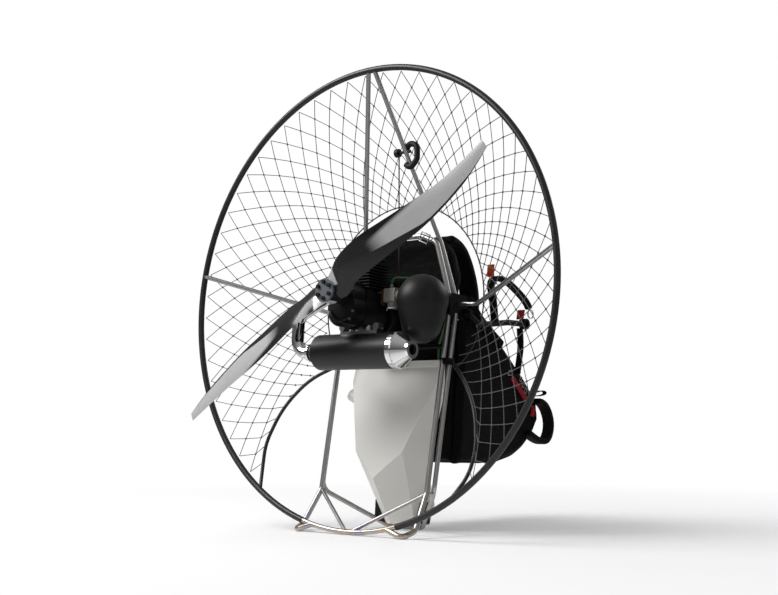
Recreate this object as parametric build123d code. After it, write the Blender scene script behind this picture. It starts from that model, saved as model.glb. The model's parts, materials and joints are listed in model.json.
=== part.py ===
from build123d import *
import math
import os

# Driving dimensions, in millimetres and degrees.
# Working frame: hoop centre at the origin, X to the right seen from behind,
# Y forward to the pilot, Z up. The whole machine is leaned to its stance at the end.
STANCE_TILT = 4.235
SIT_GAP = 0.3            # air between neighbours that only rest against each other

# Guard hoop and its arms
HOOP_R = 690.0
HOOP_TUBE = 19.0
HOOP_BASE_TUBE = 15.0
HOOP_BASE_HALF_ANGLE = 15.2
SIDE_ARM_ANGLE = 8.3
ARM_TUBE = 14.0
ARM_END_Y = -3.0
TOP_ARM_KNEE = (152.0, 187.0, 172.0)
TOP_ARM_FOOT = (199.0, 206.0, 10.0)
SIDE_ARM_KNEE = (291.0, 188.0, -15.0)

# Welded frame
FRAME_TUBE = 16.0
FOOT_START_X = 143.0
# Heights of the next three points count from the hoop's lowest point
FOOT_TOE = (206.0, -6.0, -5.0)
FOOT_HEEL = (216.0, 40.0, 14.0)
FRAME_JUNCTION = (204.0, 100.0, 119.0)
FRAME_WAIST = (206.0, 170.0, 0.0)
FRAME_SHOULDER = (150.0, 164.0, 178.0)
FRAME_CROWN = (90.0, 164.0, 200.0)
FRONT_TUBE = 14.0
FRONT_TUBE_TOP = (215.0, 187.0, -40.0)
FRONT_TUBE_MID = (219.0, 161.5, -200.0)
FRONT_TUBE_SET = (13.0, 16.0)     # front tube's foot outside and ahead of the frame's junction
BRACE_TUBE = 11.0
RAIL_FRONT_Y = 262.0
RAIL_HALF = 66.0
BAR_TUBE = 14.0
BAR_HEIGHTS = (35.0, -140.0)

# Side clamps and swing arms
CLAMP_X = 206.0
CLAMP_WIDTH = 22.0
CLAMP_Y = (156.0, 241.0)
CLAMP_Z = (-52.0, 20.0)
PIVOT_Y = 228.0
PIVOT_Z = -34.0
PIVOT_PIN_R = 6.0
PIVOT_PLAY = 0.3
SWING_TUBE = 18.0
SWING_EYE_R = 14.0
SWING_EYE_WIDTH = 20.0
SWING_GAP = 3.0
SWING_POINTS = ((286.0, -62.0), (436.0, -36.0), (525.0, -30.0))
HANG_EYE_R = 17.0
HANG_BORE_R = 8.0
HANG_STRAP_WIDTH = 22.0
HANG_STRAP_THICK = 6.0
HANG_STRAP_POINTS = (
    (330.0, 66.0),
    (352.0, 90.0),
    (410.0, 96.0),
    (492.0, 62.0),
    (538.0, 36.0),
    (548.0, 20.0),
)
HANG_STRAP_BASE_Y = 366.0
HANG_RING_R = 14.0
HANG_RING_WIRE = 5.0

# Net
NET_HOOP_Y = 9.0
NET_RING_R = 308.0
NET_RING_Y = 198.0
NET_RING_CORD = 4.0
NET_RING_END_ANGLE = -20.0
NET_CORD = 1.8
NET_COLUMNS = 60
NET_TWIST = 36.0
LOOP_TUBE = 11.0
LOOP_POINTS = (
    (219.0, 170.0, -184.0),
    (300.0, 120.0, -233.0),
    (376.0, 84.0, -326.0),
    (409.0, 52.0, -440.0),
    (399.0, 35.0, -516.0),
    (372.0, 4.0, -573.0),
)
LOOP_BENDS = (270.0, 300.0, 180.0, 180.0)

# Propeller
PROP_Z = -6.0
PROP_ANGLE = 32.3
PROP_R = 652.0
PROP_PLATE_FACE_Y = -157.0
PROP_PLATE_R = 34.0
PROP_PLATE_THICK = 7.0
PROP_BOSS_R = 35.0
PROP_BOSS_THICK = 32.0
PROP_FLANGE_THICK = 8.0
PROP_BOLT_CIRCLE_R = 24.0
PROP_BOLT_HEAD_R = 6.0
PROP_BOLT_HEAD = 6.0
PROP_BOLTS = 6
BLADE_INSET = 6.0         # blade's chord plane ahead of the boss's rear face
# Blade stations: share of the radius, chord, pitch, thickness, shift of the mid chord to the trailing edge,
# and the mid chord's place ahead of the chord plane
BLADE_STATIONS = (
    (0.034, 72.0, 18.0, 30.0, -7.0, 5.0),
    (0.077, 90.0, 22.0, 28.0, -10.0, 3.0),
    (0.138, 87.0, 27.0, 24.0, 0.5, -14.0),
    (0.215, 94.0, 26.0, 19.0, 0.5, -20.0),
    (0.307, 97.0, 24.0, 15.5, 1.0, -17.0),
    (0.429, 89.0, 19.8, 12.5, -2.0, -6.0),
    (0.567, 82.5, 15.4, 10.0, -6.5, 2.0),
    (0.721, 62.0, 11.0, 8.0, -6.5, 8.0),
    (0.874, 49.0, 9.0, 6.0, 2.5, 7.0),
    (1.0, 26.5, 8.0, 4.0, 19.5, 0.5),
)

# Engine, along the crank axis
CRANK_Z = -50.0
NOSE_R = 29.0
REDRIVE_Y = (-76.0, -26.0)
REDRIVE_TOP_R = 46.0
REDRIVE_LOW_R = 52.0
CASE_Y = (-26.0, 74.0)
CASE_R = 54.0
STARTER_Y = (74.0, 112.0)
STARTER_R = 70.0
MOUNT_PLATE_Y = (112.0, 120.0)
MOUNT_PLATE_HALF = 92.0
MOUNT_X = 76.0
MOUNT_R = 14.0
CYLINDER_Y = 24.0
CYLINDER_R = 36.0
CYLINDER_TOP = 108.0
FIN_HALF = 52.0
FIN_THICK = 3.0
FIN_PITCH = 9.0
FIN_COUNT = 9
FIN_BASE_Z = 20.0
HEAD_HEIGHT = 24.0
HEAD_FINS = 5
HEAD_FIN_PITCH = 17.0
HEAD_FIN_HEIGHT = 14.0

# Intake
AIRBOX_CENTRE = (185.0, 66.0, -14.0)
AIRBOX_R = 76.0
AIRBOX_LOW_R = 60.0
AIRBOX_BOTTOM = -141.0
CARB_X = (61.0, 102.0)
CARB_Y = 56.0
CARB_Z = 2.0
SPACER_X = 54.0
BOWL_R = 16.0
BOWL_DEPTH = 18.0
HOSE_BARB_X = 74.0
HOSE_BARB_R = 5.0
HOSE_BARB_TOP = 36.0

# Exhaust
SILENCER_Y = -13.0
SILENCER_Z = -168.0
SILENCER_R = 53.0
SILENCER_X = (-168.0, 161.0)
SILENCER_CAP_X = 221.0
SILENCER_NECK_R = 22.0
EXHAUST_TUBE = 38.0
EXHAUST_LEFT_X = -232.0
EXHAUST_PORT_Z = 58.0
EXHAUST_BEND_Z = -58.0
SILENCER_POST_X = 58.0
SILENCER_POST_R = 9.0
COLLAR_LENGTH = 9.0
COLLAR_RIM = 5.0
BRACKET_X = (-34.0, 96.0)
BRACKET_Y = (-34.0, -10.0)
BRACKET_EYE_R = 11.0
BRACKET_EYE_Z = -99.0
BRACKET_POST = 10.0
BRACKET_BAR = 5.0

# Tank: a shield-shaped rear face, with a side facet and a lower facet on each side
TANK_TOP_Z = -176.0
TANK_SIDE_GAP = 40.0      # from the frame's tube to the tank's side
TANK_TOP_REAR_Y = 191.0
TANK_LIP = 7.0
TANK_LIP_HEIGHT = 20.0
TANK_FRONT_Y = 210.0
TANK_FRONT_KNEE = (226.0, -492.0)
TANK_BOTTOM_FRONT_Y = 290.0
TANK_FRONT_RISE = 64.0
TANK_SHOULDER_Z = -237.0
# Heights of the chin, knee and heel count from the tank's bottom
TANK_CHIN = (98.0, 133.0)
TANK_KNEE = (91.0, 213.0)
TANK_HEEL = (66.0, 206.0, 57.0)
TANK_CAP_R = 20.0
TANK_CAP_HEIGHT = 18.0
TANK_CAP_SPOT = (-153.0, 188.0, -288.0)
TANK_CAP_RISE = 26.0
TANK_CLIP_X = (58.0, 100.0)
TANK_CLIP_LENGTH = 20.0
TANK_CLIP_HEIGHT = 64.0

# Fuel hose from the carburettor, round the airbox and down to the tank
HOSE = 6.0
HOSE_POINTS = ((118.0, 84.0, 58.0), (170.0, 150.0, 40.0), (188.0, 176.0, -62.0), (150.0, 196.0, -130.0))

# Pull starter
PULLEY_CENTRE = (44.0, 90.0, 446.0)
PULLEY_R = 13.0
PULLEY_WIDTH = 12.0
PULLEY_BOLT_R = 4.5
PULLEY_BOLT_END_X = 94.0
STARTER_CORD = 4.0
STARTER_CORD_FOOT = (66.0, 104.0, -40.0)
HANDLE_GRIP = 18.0
HANDLE_Y = 92.0
HANDLE_POINTS = ((71.0, 446.0), (87.0, 474.0), (117.0, 462.0), (119.0, 420.0), (95.0, 394.0), (77.0, 408.0))

# Harness
BACK_HALF = 178.0
BACK_Y = (217.0, 262.0)
BACK_Z = (-58.0, 208.0)
SEAT_HALF = 188.0
SEAT_WALL = 24.0
SEAT_REAR_Y = 236.0
SEAT_OUTLINE = (
    (236.0, -62.0),
    (400.0, -62.0),
    (470.0, -98.0),
    (590.0, -180.0),
    (672.0, -250.0),
    (690.0, -320.0),
    (655.0, -376.0),
    (606.0, -418.0),
    (548.0, -447.0),
    (450.0, -472.0),
    (236.0, -478.0),
)
SEAT_FLOOR = 80.0
SHOULDER_X = 108.0
SHOULDER_WIDTH = 66.0
SHOULDER_THICK = 18.0
SHOULDER_POINTS = (
    (244.0, 202.0),
    (308.0, 200.0),
    (363.0, 136.0),
    (402.0, 40.0),
    (392.0, -60.0),
    (330.0, -136.0),
    (258.0, -150.0),
)
LEG_STRAP_X = 213.0
LEG_STRAP_WIDTH = 40.0
LEG_STRAP_THICK = 10.0
LEG_STRAP_POINTS = ((640.0, -258.0), (684.0, -256.0), (734.0, -328.0), (712.0, -382.0), (630.0, -374.0))


# Small helpers
def side(point, sign=1):
    """A point on the right (+1) or the left (-1) side."""
    return (sign * point[0], point[1], point[2])


def swept(section, path):
    return sweep(Plane(origin=path @ 0, z_dir=path % 0) * section, path=path)


def tube(points, diameter, bend=30.0):
    """A round tube along straight runs with tangent bends."""
    path = FilletPolyline(*points, radius=bend) if len(points) > 2 else Line(*points)
    return swept(Circle(diameter / 2), path)


def strap(points, x, width, thick, bend):
    """A flat strap bent in an upright plane at x, its width along X."""
    path = FilletPolyline(*[(x, y, z) for y, z in points], radius=bend)
    plane = Plane(origin=path @ 0, x_dir=(1, 0, 0), z_dir=path % 0)
    return sweep(plane * RectangleRounded(width, thick, thick * 0.4), path=path)


def rod(radius, y_range, x=0.0, z=0.0):
    """A cylinder lying along Y."""
    length = y_range[1] - y_range[0]
    middle = (y_range[0] + y_range[1]) / 2
    return Pos(x, middle, z) * Rot(90, 0, 0) * Cylinder(radius, length)


def cross_rod(radius, x_range, y, z):
    """A cylinder lying along X."""
    length = x_range[1] - x_range[0]
    middle = (x_range[0] + x_range[1]) / 2
    return Pos(middle, y, z) * Rot(0, 90, 0) * Cylinder(radius, length)


def block(x_range, y_range, z_range):
    size = [r[1] - r[0] for r in (x_range, y_range, z_range)]
    middle = [(r[0] + r[1]) / 2 for r in (x_range, y_range, z_range)]
    return Pos(*middle) * Box(*size)


def pair(right):
    """The right-hand solid and its mirror image."""
    return [right, mirror(right, about=Plane.YZ)]


def hoop_arc(diameter, start, end):
    """A piece of the hoop between two angles, counted from +X up to +Z."""
    section = Pos(HOOP_R, 0, 0) * Circle(diameter / 2)
    return Rot(0, -end, 0) * revolve(section, axis=Axis.Y, revolution_arc=end - start)


def on_hoop(angle, y=0.0, radius=HOOP_R):
    return (radius * math.cos(math.radians(angle)), y, radius * math.sin(math.radians(angle)))


def plane_through(a, b, c):
    a, b, c = Vector(*a), Vector(*b), Vector(*c)
    return Plane(origin=a, z_dir=(b - a).cross(c - a))


def trim(solid, a, b, c, inside):
    """Cut a solid along the plane through three points and keep the side that holds a point."""
    plane = plane_through(a, b, c)
    above = plane.to_local_coords(Vector(*inside)).Z > 0
    return split(solid, bisect_by=plane, keep=Keep.TOP if above else Keep.BOTTOM)


def largest(shape):
    """The biggest solid left after a cut."""
    return max(shape.solids(), key=lambda solid: solid.volume)


def from_hoop_foot(point):
    """A point whose height counts from the lowest point of the hoop's centre line."""
    return (point[0], point[1], point[2] - HOOP_R)


def lean(shape):
    """Lean a shape from the working frame to the machine's stance."""
    return Rot(-STANCE_TILT, 0, 0) * shape


NODES = {}

# Guard hoop in five pieces
BASE_END = -90 + HOOP_BASE_HALF_ANGLE
whole_hoop = revolve(Pos(HOOP_R, 0, 0) * Circle(HOOP_TUBE / 2), axis=Axis.Y)
hoop_base = hoop_arc(HOOP_BASE_TUBE, -180 - BASE_END, BASE_END)
NODES["hoop_upper_right"] = [hoop_arc(HOOP_TUBE, SIDE_ARM_ANGLE, 90)]
NODES["hoop_upper_left"] = [hoop_arc(HOOP_TUBE, 90, 180 - SIDE_ARM_ANGLE)]
NODES["hoop_lower_right"] = [hoop_arc(HOOP_TUBE, BASE_END, SIDE_ARM_ANGLE)]
NODES["hoop_lower_left"] = [hoop_arc(HOOP_TUBE, 180 - SIDE_ARM_ANGLE, 180 - BASE_END)]
NODES["hoop_base"] = [hoop_base]

# Main frame tube: one bent tube from the hoop up over the top and down again
foot_start = (FOOT_START_X, 0.0, -math.sqrt(HOOP_R**2 - FOOT_START_X**2))
junction = from_hoop_foot(FRAME_JUNCTION)
foot_points = [foot_start, from_hoop_foot(FOOT_TOE), from_hoop_foot(FOOT_HEEL), junction]
frame_right = foot_points + [FRAME_WAIST, FRAME_SHOULDER, FRAME_CROWN]
frame_points = frame_right + [side(p, -1) for p in reversed(frame_right)]
frame_bends = [20.0, 26.0, 40.0, 90.0, 30.0, 60.0]
frame_tube = tube(frame_points, FRAME_TUBE, frame_bends + frame_bends[::-1])
frame_tube = frame_tube - hoop_base
below_junction = block((-HOOP_R, HOOP_R), (-HOOP_R, HOOP_R), (-2 * HOOP_R, junction[2]))
NODES["frame_arch"] = [frame_tube - below_junction]
NODES["foot_legs"] = (frame_tube & below_junction).solids()

# The floor line in the leaned stance follows from the feet
leaned_legs = Compound([lean(s) for s in NODES["foot_legs"]])
floor_z = leaned_legs.bounding_box().min.Z
tilt = math.radians(STANCE_TILT)
rail_front_z = (floor_z + FRONT_TUBE / 2 + RAIL_FRONT_Y * math.sin(tilt)) / math.cos(tilt)


# Cross bars, their ends shaped to the tubes they meet
def frame_at(z):
    """Centre of the right main tube at a height."""
    low, high = (junction, FRAME_WAIST) if z < FRAME_WAIST[2] else (FRAME_WAIST, FRAME_SHOULDER)
    t = (z - low[2]) / (high[2] - low[2])
    return (low[0] + t * (high[0] - low[0]), low[1] + t * (high[1] - low[1]), z)


bars = []
for height in BAR_HEIGHTS:
    end = frame_at(height)
    bars.append(tube((side(end, -1), end), BAR_TUBE) - frame_tube)
NODES["cross_bars"] = [largest(bar) for bar in bars]

# Front tube: one bent tube down both sides and forward along the floor under the tank
front_foot = (junction[0] + FRONT_TUBE_SET[0], junction[1] + FRONT_TUBE_SET[1], junction[2])
rail_corner = (RAIL_HALF, RAIL_FRONT_Y, rail_front_z)
front_right = [FRONT_TUBE_TOP, FRONT_TUBE_MID, front_foot, rail_corner]
front_bends = [90.0, 40.0, 28.0]
front_tube = tube(
    front_right + [side(p, -1) for p in reversed(front_right)], FRONT_TUBE, front_bends + front_bends[::-1]
)
NODES["front_tubes"] = (front_tube - below_junction).solids()
NODES["base_rail"] = [front_tube & below_junction]

# Braces from the hoop's foot to the frame, and the short links between frame and front tube
brace_start = (BRACE_TUBE * 0.75, 0.0, -HOOP_R)
brace = largest(tube((brace_start, junction), BRACE_TUBE) - hoop_base - frame_tube - front_tube)
link = largest(tube((junction, front_foot), BRACE_TUBE) - frame_tube - front_tube)
right_half = block((SIT_GAP / 2, HOOP_R), (-HOOP_R, HOOP_R), (-2 * HOOP_R, 2 * HOOP_R))
NODES["base_braces"] = pair(brace & right_half) + pair(link)

# Side clamps with the pivot pins of the swing arms
swing_x = CLAMP_X + CLAMP_WIDTH / 2 + SWING_GAP + SWING_TUBE / 2
pin_end = swing_x + SWING_EYE_WIDTH / 2
clamp = block((CLAMP_X - CLAMP_WIDTH / 2, CLAMP_X + CLAMP_WIDTH / 2), CLAMP_Y, CLAMP_Z)
clamp = fillet(clamp.edges().filter_by(Axis.X), 14)
frame_groove = tube(frame_points, FRAME_TUBE + SIT_GAP, frame_bends + frame_bends[::-1])
clamp = largest(clamp - frame_groove - front_tube)
clamp = clamp + cross_rod(PIVOT_PIN_R, (CLAMP_X, pin_end + 2), PIVOT_Y, PIVOT_Z)
clamp = clamp + cross_rod(PIVOT_PIN_R + 4, (pin_end + 1, pin_end + 5), PIVOT_Y, PIVOT_Z)
NODES["arm_clamps"] = pair(clamp)

# Arms from the clamps to the hoop
side_arm_start = (CLAMP_X + CLAMP_WIDTH / 2, 197.0, -9.0)
side_arm = tube((side_arm_start, SIDE_ARM_KNEE, on_hoop(SIDE_ARM_ANGLE, ARM_END_Y)), ARM_TUBE, 45)
side_arm = largest(side_arm - whole_hoop)
NODES["side_arms"] = pair(side_arm - clamp)
top_arm = tube((TOP_ARM_FOOT, TOP_ARM_KNEE, (11.0, 0.0, HOOP_R)), ARM_TUBE, 60)
top_arm = top_arm - whole_hoop - clamp - front_tube - frame_tube
top_arm = largest(top_arm)
NODES["top_arms"] = pair(top_arm & right_half)

# Lower net loops from the frame to the hoop
loop = tube(LOOP_POINTS, LOOP_TUBE, LOOP_BENDS)
loop = largest(loop - whole_hoop - frame_tube - front_tube)
loop_end = LOOP_POINTS[0]
clip_x = (CLAMP_X - 9, loop_end[0] + 9)
clip_z = (loop_end[2] - 9, loop_end[2] + 9)
loop_root = block(clip_x, (loop_end[1] - 30, loop_end[1] + 8), clip_z)
loop_root = fillet(loop_root.edges().filter_by(Axis.Z), 6) - frame_groove - front_tube - loop
NODES["net_loops"] = pair(loop)
NODES["loop_clips"] = pair(largest(loop_root))

# Net: an inner ring cord and two lays of cords knotted where they cross
ring_arc_end = NET_RING_END_ANGLE
ring_arc = Plane.XZ.offset(-NET_RING_Y) * CenterArc((0, 0), NET_RING_R, ring_arc_end, 180 - 2 * ring_arc_end)
right_end = on_hoop(ring_arc_end, NET_RING_Y, NET_RING_R)
right_tangent = (math.sin(math.radians(ring_arc_end)), 0, -math.cos(math.radians(ring_arc_end)))
tail = TangentArc(right_end, (252.0, 150.0, -204.0), tangent=right_tangent)
ring_cord = swept(Circle(NET_RING_CORD / 2), ring_arc)
ring_tail = sweep(Plane(origin=right_end, z_dir=right_tangent) * Circle(NET_RING_CORD / 2), path=tail) - loop
ring_tail = largest(ring_tail)
NODES["net_ring"] = [(ring_cord + ring_tail + mirror(ring_tail, about=Plane.YZ)).solid()]

loop_path = FilletPolyline(*LOOP_POINTS, radius=LOOP_BENDS)
LOOP_SAMPLES = [loop_path @ (i / 60) for i in range(61)]


def net_point(angle, radius):
    """A point of the net's surface; it drops back toward the loops at the lower sides."""
    below = abs(((angle + 90) % 360) - 180)
    drop = min(1.0, max(0.0, (below - 95) / 33))
    slope = (NET_RING_Y - NET_HOOP_Y) / (HOOP_R - NET_RING_R)
    slope = slope * (1 - 0.26 * drop)
    return Vector(*on_hoop(angle, NET_HOOP_Y + slope * (HOOP_R - radius), radius))


def loop_angle(radius):
    """Angle of the right net loop at a radius."""
    best = min(LOOP_SAMPLES, key=lambda p: abs(math.hypot(p.X, p.Z) - radius))
    return math.degrees(math.atan2(best.Z, best.X))


def net_cord(start_angle, lay):
    """One cord from the hoop inward, ended at the ring or at a loop."""
    reach = NET_CORD * 0.75 + HOOP_TUBE / 2 + SIT_GAP
    outer = HOOP_R - math.sqrt(reach**2 - NET_HOOP_Y**2)
    inner = NET_RING_R + NET_RING_CORD / 2 + NET_CORD
    steps = 40
    course = []
    for i in range(steps + 1):
        radius = outer + (inner - outer) * i / steps
        turn = NET_TWIST * math.log(outer / radius) / math.log(outer / inner)
        angle = start_angle + lay * turn
        edge = loop_angle(radius) + math.degrees((LOOP_TUBE / 2 + NET_CORD) / radius)
        if angle < edge or angle > 180 - edge:
            break
        course.append(net_point(angle, radius))
    if len(course) < 5:
        return None
    path = ThreePointArc(course[0], course[len(course) // 2], course[-1])
    return swept(Rectangle(NET_CORD, NET_CORD), path)


# The right lay is the mirror image of the left lay, and the full cords over the top are one cord turned
column_angles = [360 * (i + 0.5) / NET_COLUMNS - 90 for i in range(NET_COLUMNS)]
pattern_cord = net_cord(90, 1)
left_lay = []
for angle in column_angles:
    if 10 < angle < 170 - NET_TWIST:
        left_lay.append(Rot(0, 90 - angle, 0) * pattern_cord)
    elif -56 < angle < 236:
        left_lay.append(net_cord(angle, 1))
left_lay = [cord for cord in left_lay if cord is not None]
NODES["net_cords_left_lay"] = left_lay
NODES["net_cords_right_lay"] = [mirror(cord, about=Plane.YZ) for cord in left_lay]

# Propeller, turned about the Y axis through the hub
boss_rear = PROP_PLATE_FACE_Y + PROP_PLATE_THICK
boss_front = boss_rear + PROP_BOSS_THICK
blade_y = boss_rear + BLADE_INSET


def blade_section(share, chord, pitch, thick, shift, ahead):
    radius = share * PROP_R
    angle = math.radians(pitch)
    chord_dir = (0, -math.sin(angle), math.cos(angle))
    plane = Plane(origin=(radius, blade_y + ahead, shift), x_dir=chord_dir, z_dir=(1, 0, 0))
    rear = ThreePointArc((-chord / 2, 0), (0, thick * 0.3), (chord / 2, 0))
    front = ThreePointArc((chord / 2, 0), (0, -thick * 0.7), (-chord / 2, 0))
    return plane * make_face([rear, front])


blade = loft([blade_section(*row) for row in BLADE_STATIONS])
hub = rod(PROP_BOSS_R, (boss_rear, boss_front))
propeller = hub + blade + Rot(0, 180, 0) * blade
for seat_range in ((boss_front, boss_front + PROP_BOSS_THICK), (boss_rear - PROP_BOSS_THICK, boss_rear)):
    propeller = propeller - rod(PROP_BOSS_R + SIT_GAP, seat_range)
prop_place = Pos(0, 0, PROP_Z) * Rot(0, -PROP_ANGLE, 0)
NODES["propeller"] = [prop_place * propeller]
plate = rod(PROP_PLATE_R, (PROP_PLATE_FACE_Y, boss_rear))
NODES["hub_plate"] = [prop_place * plate]
bolt_face = (PROP_PLATE_FACE_Y - PROP_BOLT_HEAD, PROP_PLATE_FACE_Y)
bolts = []
for i in range(PROP_BOLTS):
    spot = PROP_BOLT_CIRCLE_R * Vector(math.cos(2 * math.pi * i / PROP_BOLTS), 0, math.sin(2 * math.pi * i / PROP_BOLTS))
    bolts.append(prop_place * rod(PROP_BOLT_HEAD_R, bolt_face, spot.X, spot.Z))
NODES["hub_bolts"] = bolts
flange_front = boss_front + PROP_FLANGE_THICK
NODES["drive_flange"] = [Pos(0, 0, PROP_Z) * rod(PROP_BOSS_R, (boss_front, flange_front))]

# Reduction drive, crankcase, cylinder and starter
nose = rod(NOSE_R, (flange_front + 1.0, REDRIVE_Y[0] + 5), z=PROP_Z)
upper = rod(REDRIVE_TOP_R, REDRIVE_Y, z=PROP_Z)
lower = rod(REDRIVE_LOW_R, REDRIVE_Y, z=CRANK_Z)
redrive = upper + lower + nose
NODES["reduction_drive"] = [redrive]

barrel_base = CRANK_Z + CASE_R * 0.8
case = rod(CASE_R, CASE_Y, z=CRANK_Z)
case = case + block((-46, 46), (CYLINDER_Y - 44, CYLINDER_Y + 44), (CRANK_Z, barrel_base + 14))
case = case + block((0, SPACER_X), (CARB_Y - 24, CARB_Y + 16), (CARB_Z - 24, barrel_base + 14))
NODES["crankcase"] = [case]

barrel = Pos(0, CYLINDER_Y, (barrel_base + 14 + CYLINDER_TOP) / 2) * Cylinder(CYLINDER_R, CYLINDER_TOP - barrel_base - 14)
for i in range(FIN_COUNT):
    fin_z = FIN_BASE_Z + i * FIN_PITCH
    barrel = barrel + block((-FIN_HALF, FIN_HALF), (CYLINDER_Y - 46, CYLINDER_Y + 46), (fin_z, fin_z + FIN_THICK))
NODES["cylinder"] = [barrel]
head = block((-44, 44), (CYLINDER_Y - 44, CYLINDER_Y + 44), (CYLINDER_TOP, CYLINDER_TOP + HEAD_HEIGHT))
head = fillet(head.edges().filter_by(Axis.Z), 14)
plug = Pos(0, CYLINDER_Y, CYLINDER_TOP + HEAD_HEIGHT + 14) * Cylinder(9, 28)
head = head + plug
for i in range(HEAD_FINS):
    fin_y = CYLINDER_Y + (i - (HEAD_FINS - 1) / 2) * HEAD_FIN_PITCH
    fin_top = CYLINDER_TOP + HEAD_HEIGHT + HEAD_FIN_HEIGHT
    head = head + block((-40, 40), (fin_y - FIN_THICK / 2, fin_y + FIN_THICK / 2), (CYLINDER_TOP + 4, fin_top))
NODES["cylinder_head"] = [head]

NODES["starter_housing"] = [fillet(rod(STARTER_R, STARTER_Y, z=CRANK_Z).edges(), 6)]

# Engine plate on four rubber mounts
plate_z = (BAR_HEIGHTS[1] - 20, BAR_HEIGHTS[0] + 20)
engine_plate = block((-MOUNT_PLATE_HALF, MOUNT_PLATE_HALF), MOUNT_PLATE_Y, plate_z)
NODES["engine_plate"] = [fillet(engine_plate.edges().filter_by(Axis.Y), 20)]
mounts = []
for bar, height in zip(NODES["cross_bars"], BAR_HEIGHTS):
    for sign in (-1, 1):
        mount = rod(MOUNT_R, (MOUNT_PLATE_Y[1], frame_at(height)[1]), sign * MOUNT_X, height) - bar
        mounts.append(largest(mount))
NODES["rubber_mounts"] = mounts

# Intake: carburettor and airbox
cx, cy, cz = AIRBOX_CENTRE
low_z = AIRBOX_BOTTOM + AIRBOX_LOW_R
lean_in = (AIRBOX_R - AIRBOX_LOW_R) / (cz - low_z)
side_x = math.sqrt(1 - lean_in**2)
high_edge = (AIRBOX_R * side_x, cz - AIRBOX_R * lean_in)
low_edge = (AIRBOX_LOW_R * side_x, low_z - AIRBOX_LOW_R * lean_in)
egg_outline = [
    ThreePointArc((0, cz + AIRBOX_R), (AIRBOX_R * math.sqrt(0.5), cz + AIRBOX_R * math.sqrt(0.5)), high_edge),
    Line(high_edge, low_edge),
    ThreePointArc(low_edge, (AIRBOX_LOW_R * 0.6, low_z - AIRBOX_LOW_R * 0.8), (0, AIRBOX_BOTTOM)),
    Line((0, AIRBOX_BOTTOM), (0, cz + AIRBOX_R)),
]
egg = revolve(Plane.XZ * make_face(egg_outline), axis=Axis.Z)
airbox = Pos(cx, cy, 0) * egg
NODES["airbox"] = [airbox]
carb_middle = (CARB_X[0] + CARB_X[1]) / 2
spacer = block((SPACER_X, CARB_X[0]), (CARB_Y - 24, CARB_Y + 16), (CARB_Z - 30, CARB_Z + 20))
NODES["intake_spacer"] = [fillet(spacer.edges().filter_by(Axis.X), 8)]
carb = block(CARB_X, (CARB_Y - 20, CARB_Y + 16), (CARB_Z - 20, CARB_Z + 22))
carb = fillet(carb.edges().filter_by(Axis.X), 7)
carb = carb + cross_rod(17, (CARB_X[1], cx), CARB_Y, CARB_Z)
carb = carb + Pos(carb_middle, CARB_Y, CARB_Z - 20 - BOWL_DEPTH / 2) * Cylinder(BOWL_R, BOWL_DEPTH)
barb_foot = CARB_Z + 20
barb = Pos(HOSE_BARB_X, CARB_Y, (barb_foot + HOSE_BARB_TOP) / 2) * Cylinder(HOSE_BARB_R, HOSE_BARB_TOP - barb_foot)
NODES["carburettor"] = [largest(carb + barb - airbox)]
hose_start = [(HOSE_BARB_X, CARB_Y, HOSE_BARB_TOP), (HOSE_BARB_X, CARB_Y, HOSE_POINTS[0][2])]
hose_end = (HOSE_POINTS[-1][0], HOSE_POINTS[-1][1], TANK_TOP_Z)
hose_bends = [16.0, 40.0, 60.0, 36.0]
NODES["fuel_line"] = [tube(hose_start + list(HOSE_POINTS[:-1]) + [HOSE_POINTS[-1], hose_end], HOSE, hose_bends + [24.0])]

# Exhaust: header pipe, silencer and its polished end cap
port = (-CYLINDER_R, CYLINDER_Y, EXHAUST_PORT_Z)
header_points = [
    port,
    (EXHAUST_LEFT_X, SILENCER_Y, EXHAUST_BEND_Z),
    (EXHAUST_LEFT_X, SILENCER_Y, SILENCER_Z),
    (SILENCER_X[0], SILENCER_Y, SILENCER_Z),
]
header = tube(header_points, EXHAUST_TUBE, [40.0, 46.0])
collar_x = (SILENCER_X[0] - COLLAR_LENGTH, SILENCER_X[0])
header = header + cross_rod(SILENCER_NECK_R + COLLAR_RIM, collar_x, SILENCER_Y, SILENCER_Z)
NODES["exhaust_header"] = [largest(header - barrel)]
body_outline = Polyline(
    (SILENCER_X[0], 0),
    (SILENCER_X[0], SILENCER_NECK_R),
    (SILENCER_X[0] + 38, SILENCER_R),
    (SILENCER_X[1], SILENCER_R),
    (SILENCER_X[1], 0),
    close=True,
)
silencer_place = Pos(0, SILENCER_Y, SILENCER_Z)
silencer = silencer_place * revolve(make_face(body_outline), axis=Axis.X)
NODES["silencer"] = [silencer]
cap_outline = Polyline(
    (SILENCER_X[1], 0),
    (SILENCER_X[1], SILENCER_R + 1.5),
    (SILENCER_X[1] + 16, SILENCER_R + 1.5),
    (SILENCER_X[1] + 18, SILENCER_R - 2),
    (SILENCER_CAP_X - 10, SILENCER_NECK_R + 4),
    (SILENCER_CAP_X, SILENCER_NECK_R + 4),
    (SILENCER_CAP_X, SILENCER_NECK_R - 6),
    (SILENCER_CAP_X - 40, SILENCER_NECK_R - 6),
    (SILENCER_CAP_X - 40, 0),
    close=True,
)
NODES["silencer_cap"] = [silencer_place * revolve(make_face(cap_outline), axis=Axis.X)]
post_top = CRANK_Z - CASE_R * 0.6
posts = []
for sign in (-1, 1):
    reach = (SILENCER_Z + SILENCER_R * 0.6, post_top)
    post = Pos(sign * SILENCER_POST_X / 2, 10, sum(reach) / 2) * Cylinder(SILENCER_POST_R, reach[1] - reach[0])
    posts.append(largest(post - silencer - case - redrive))
NODES["silencer_posts"] = posts
bar_y = sum(BRACKET_Y) / 2
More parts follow.
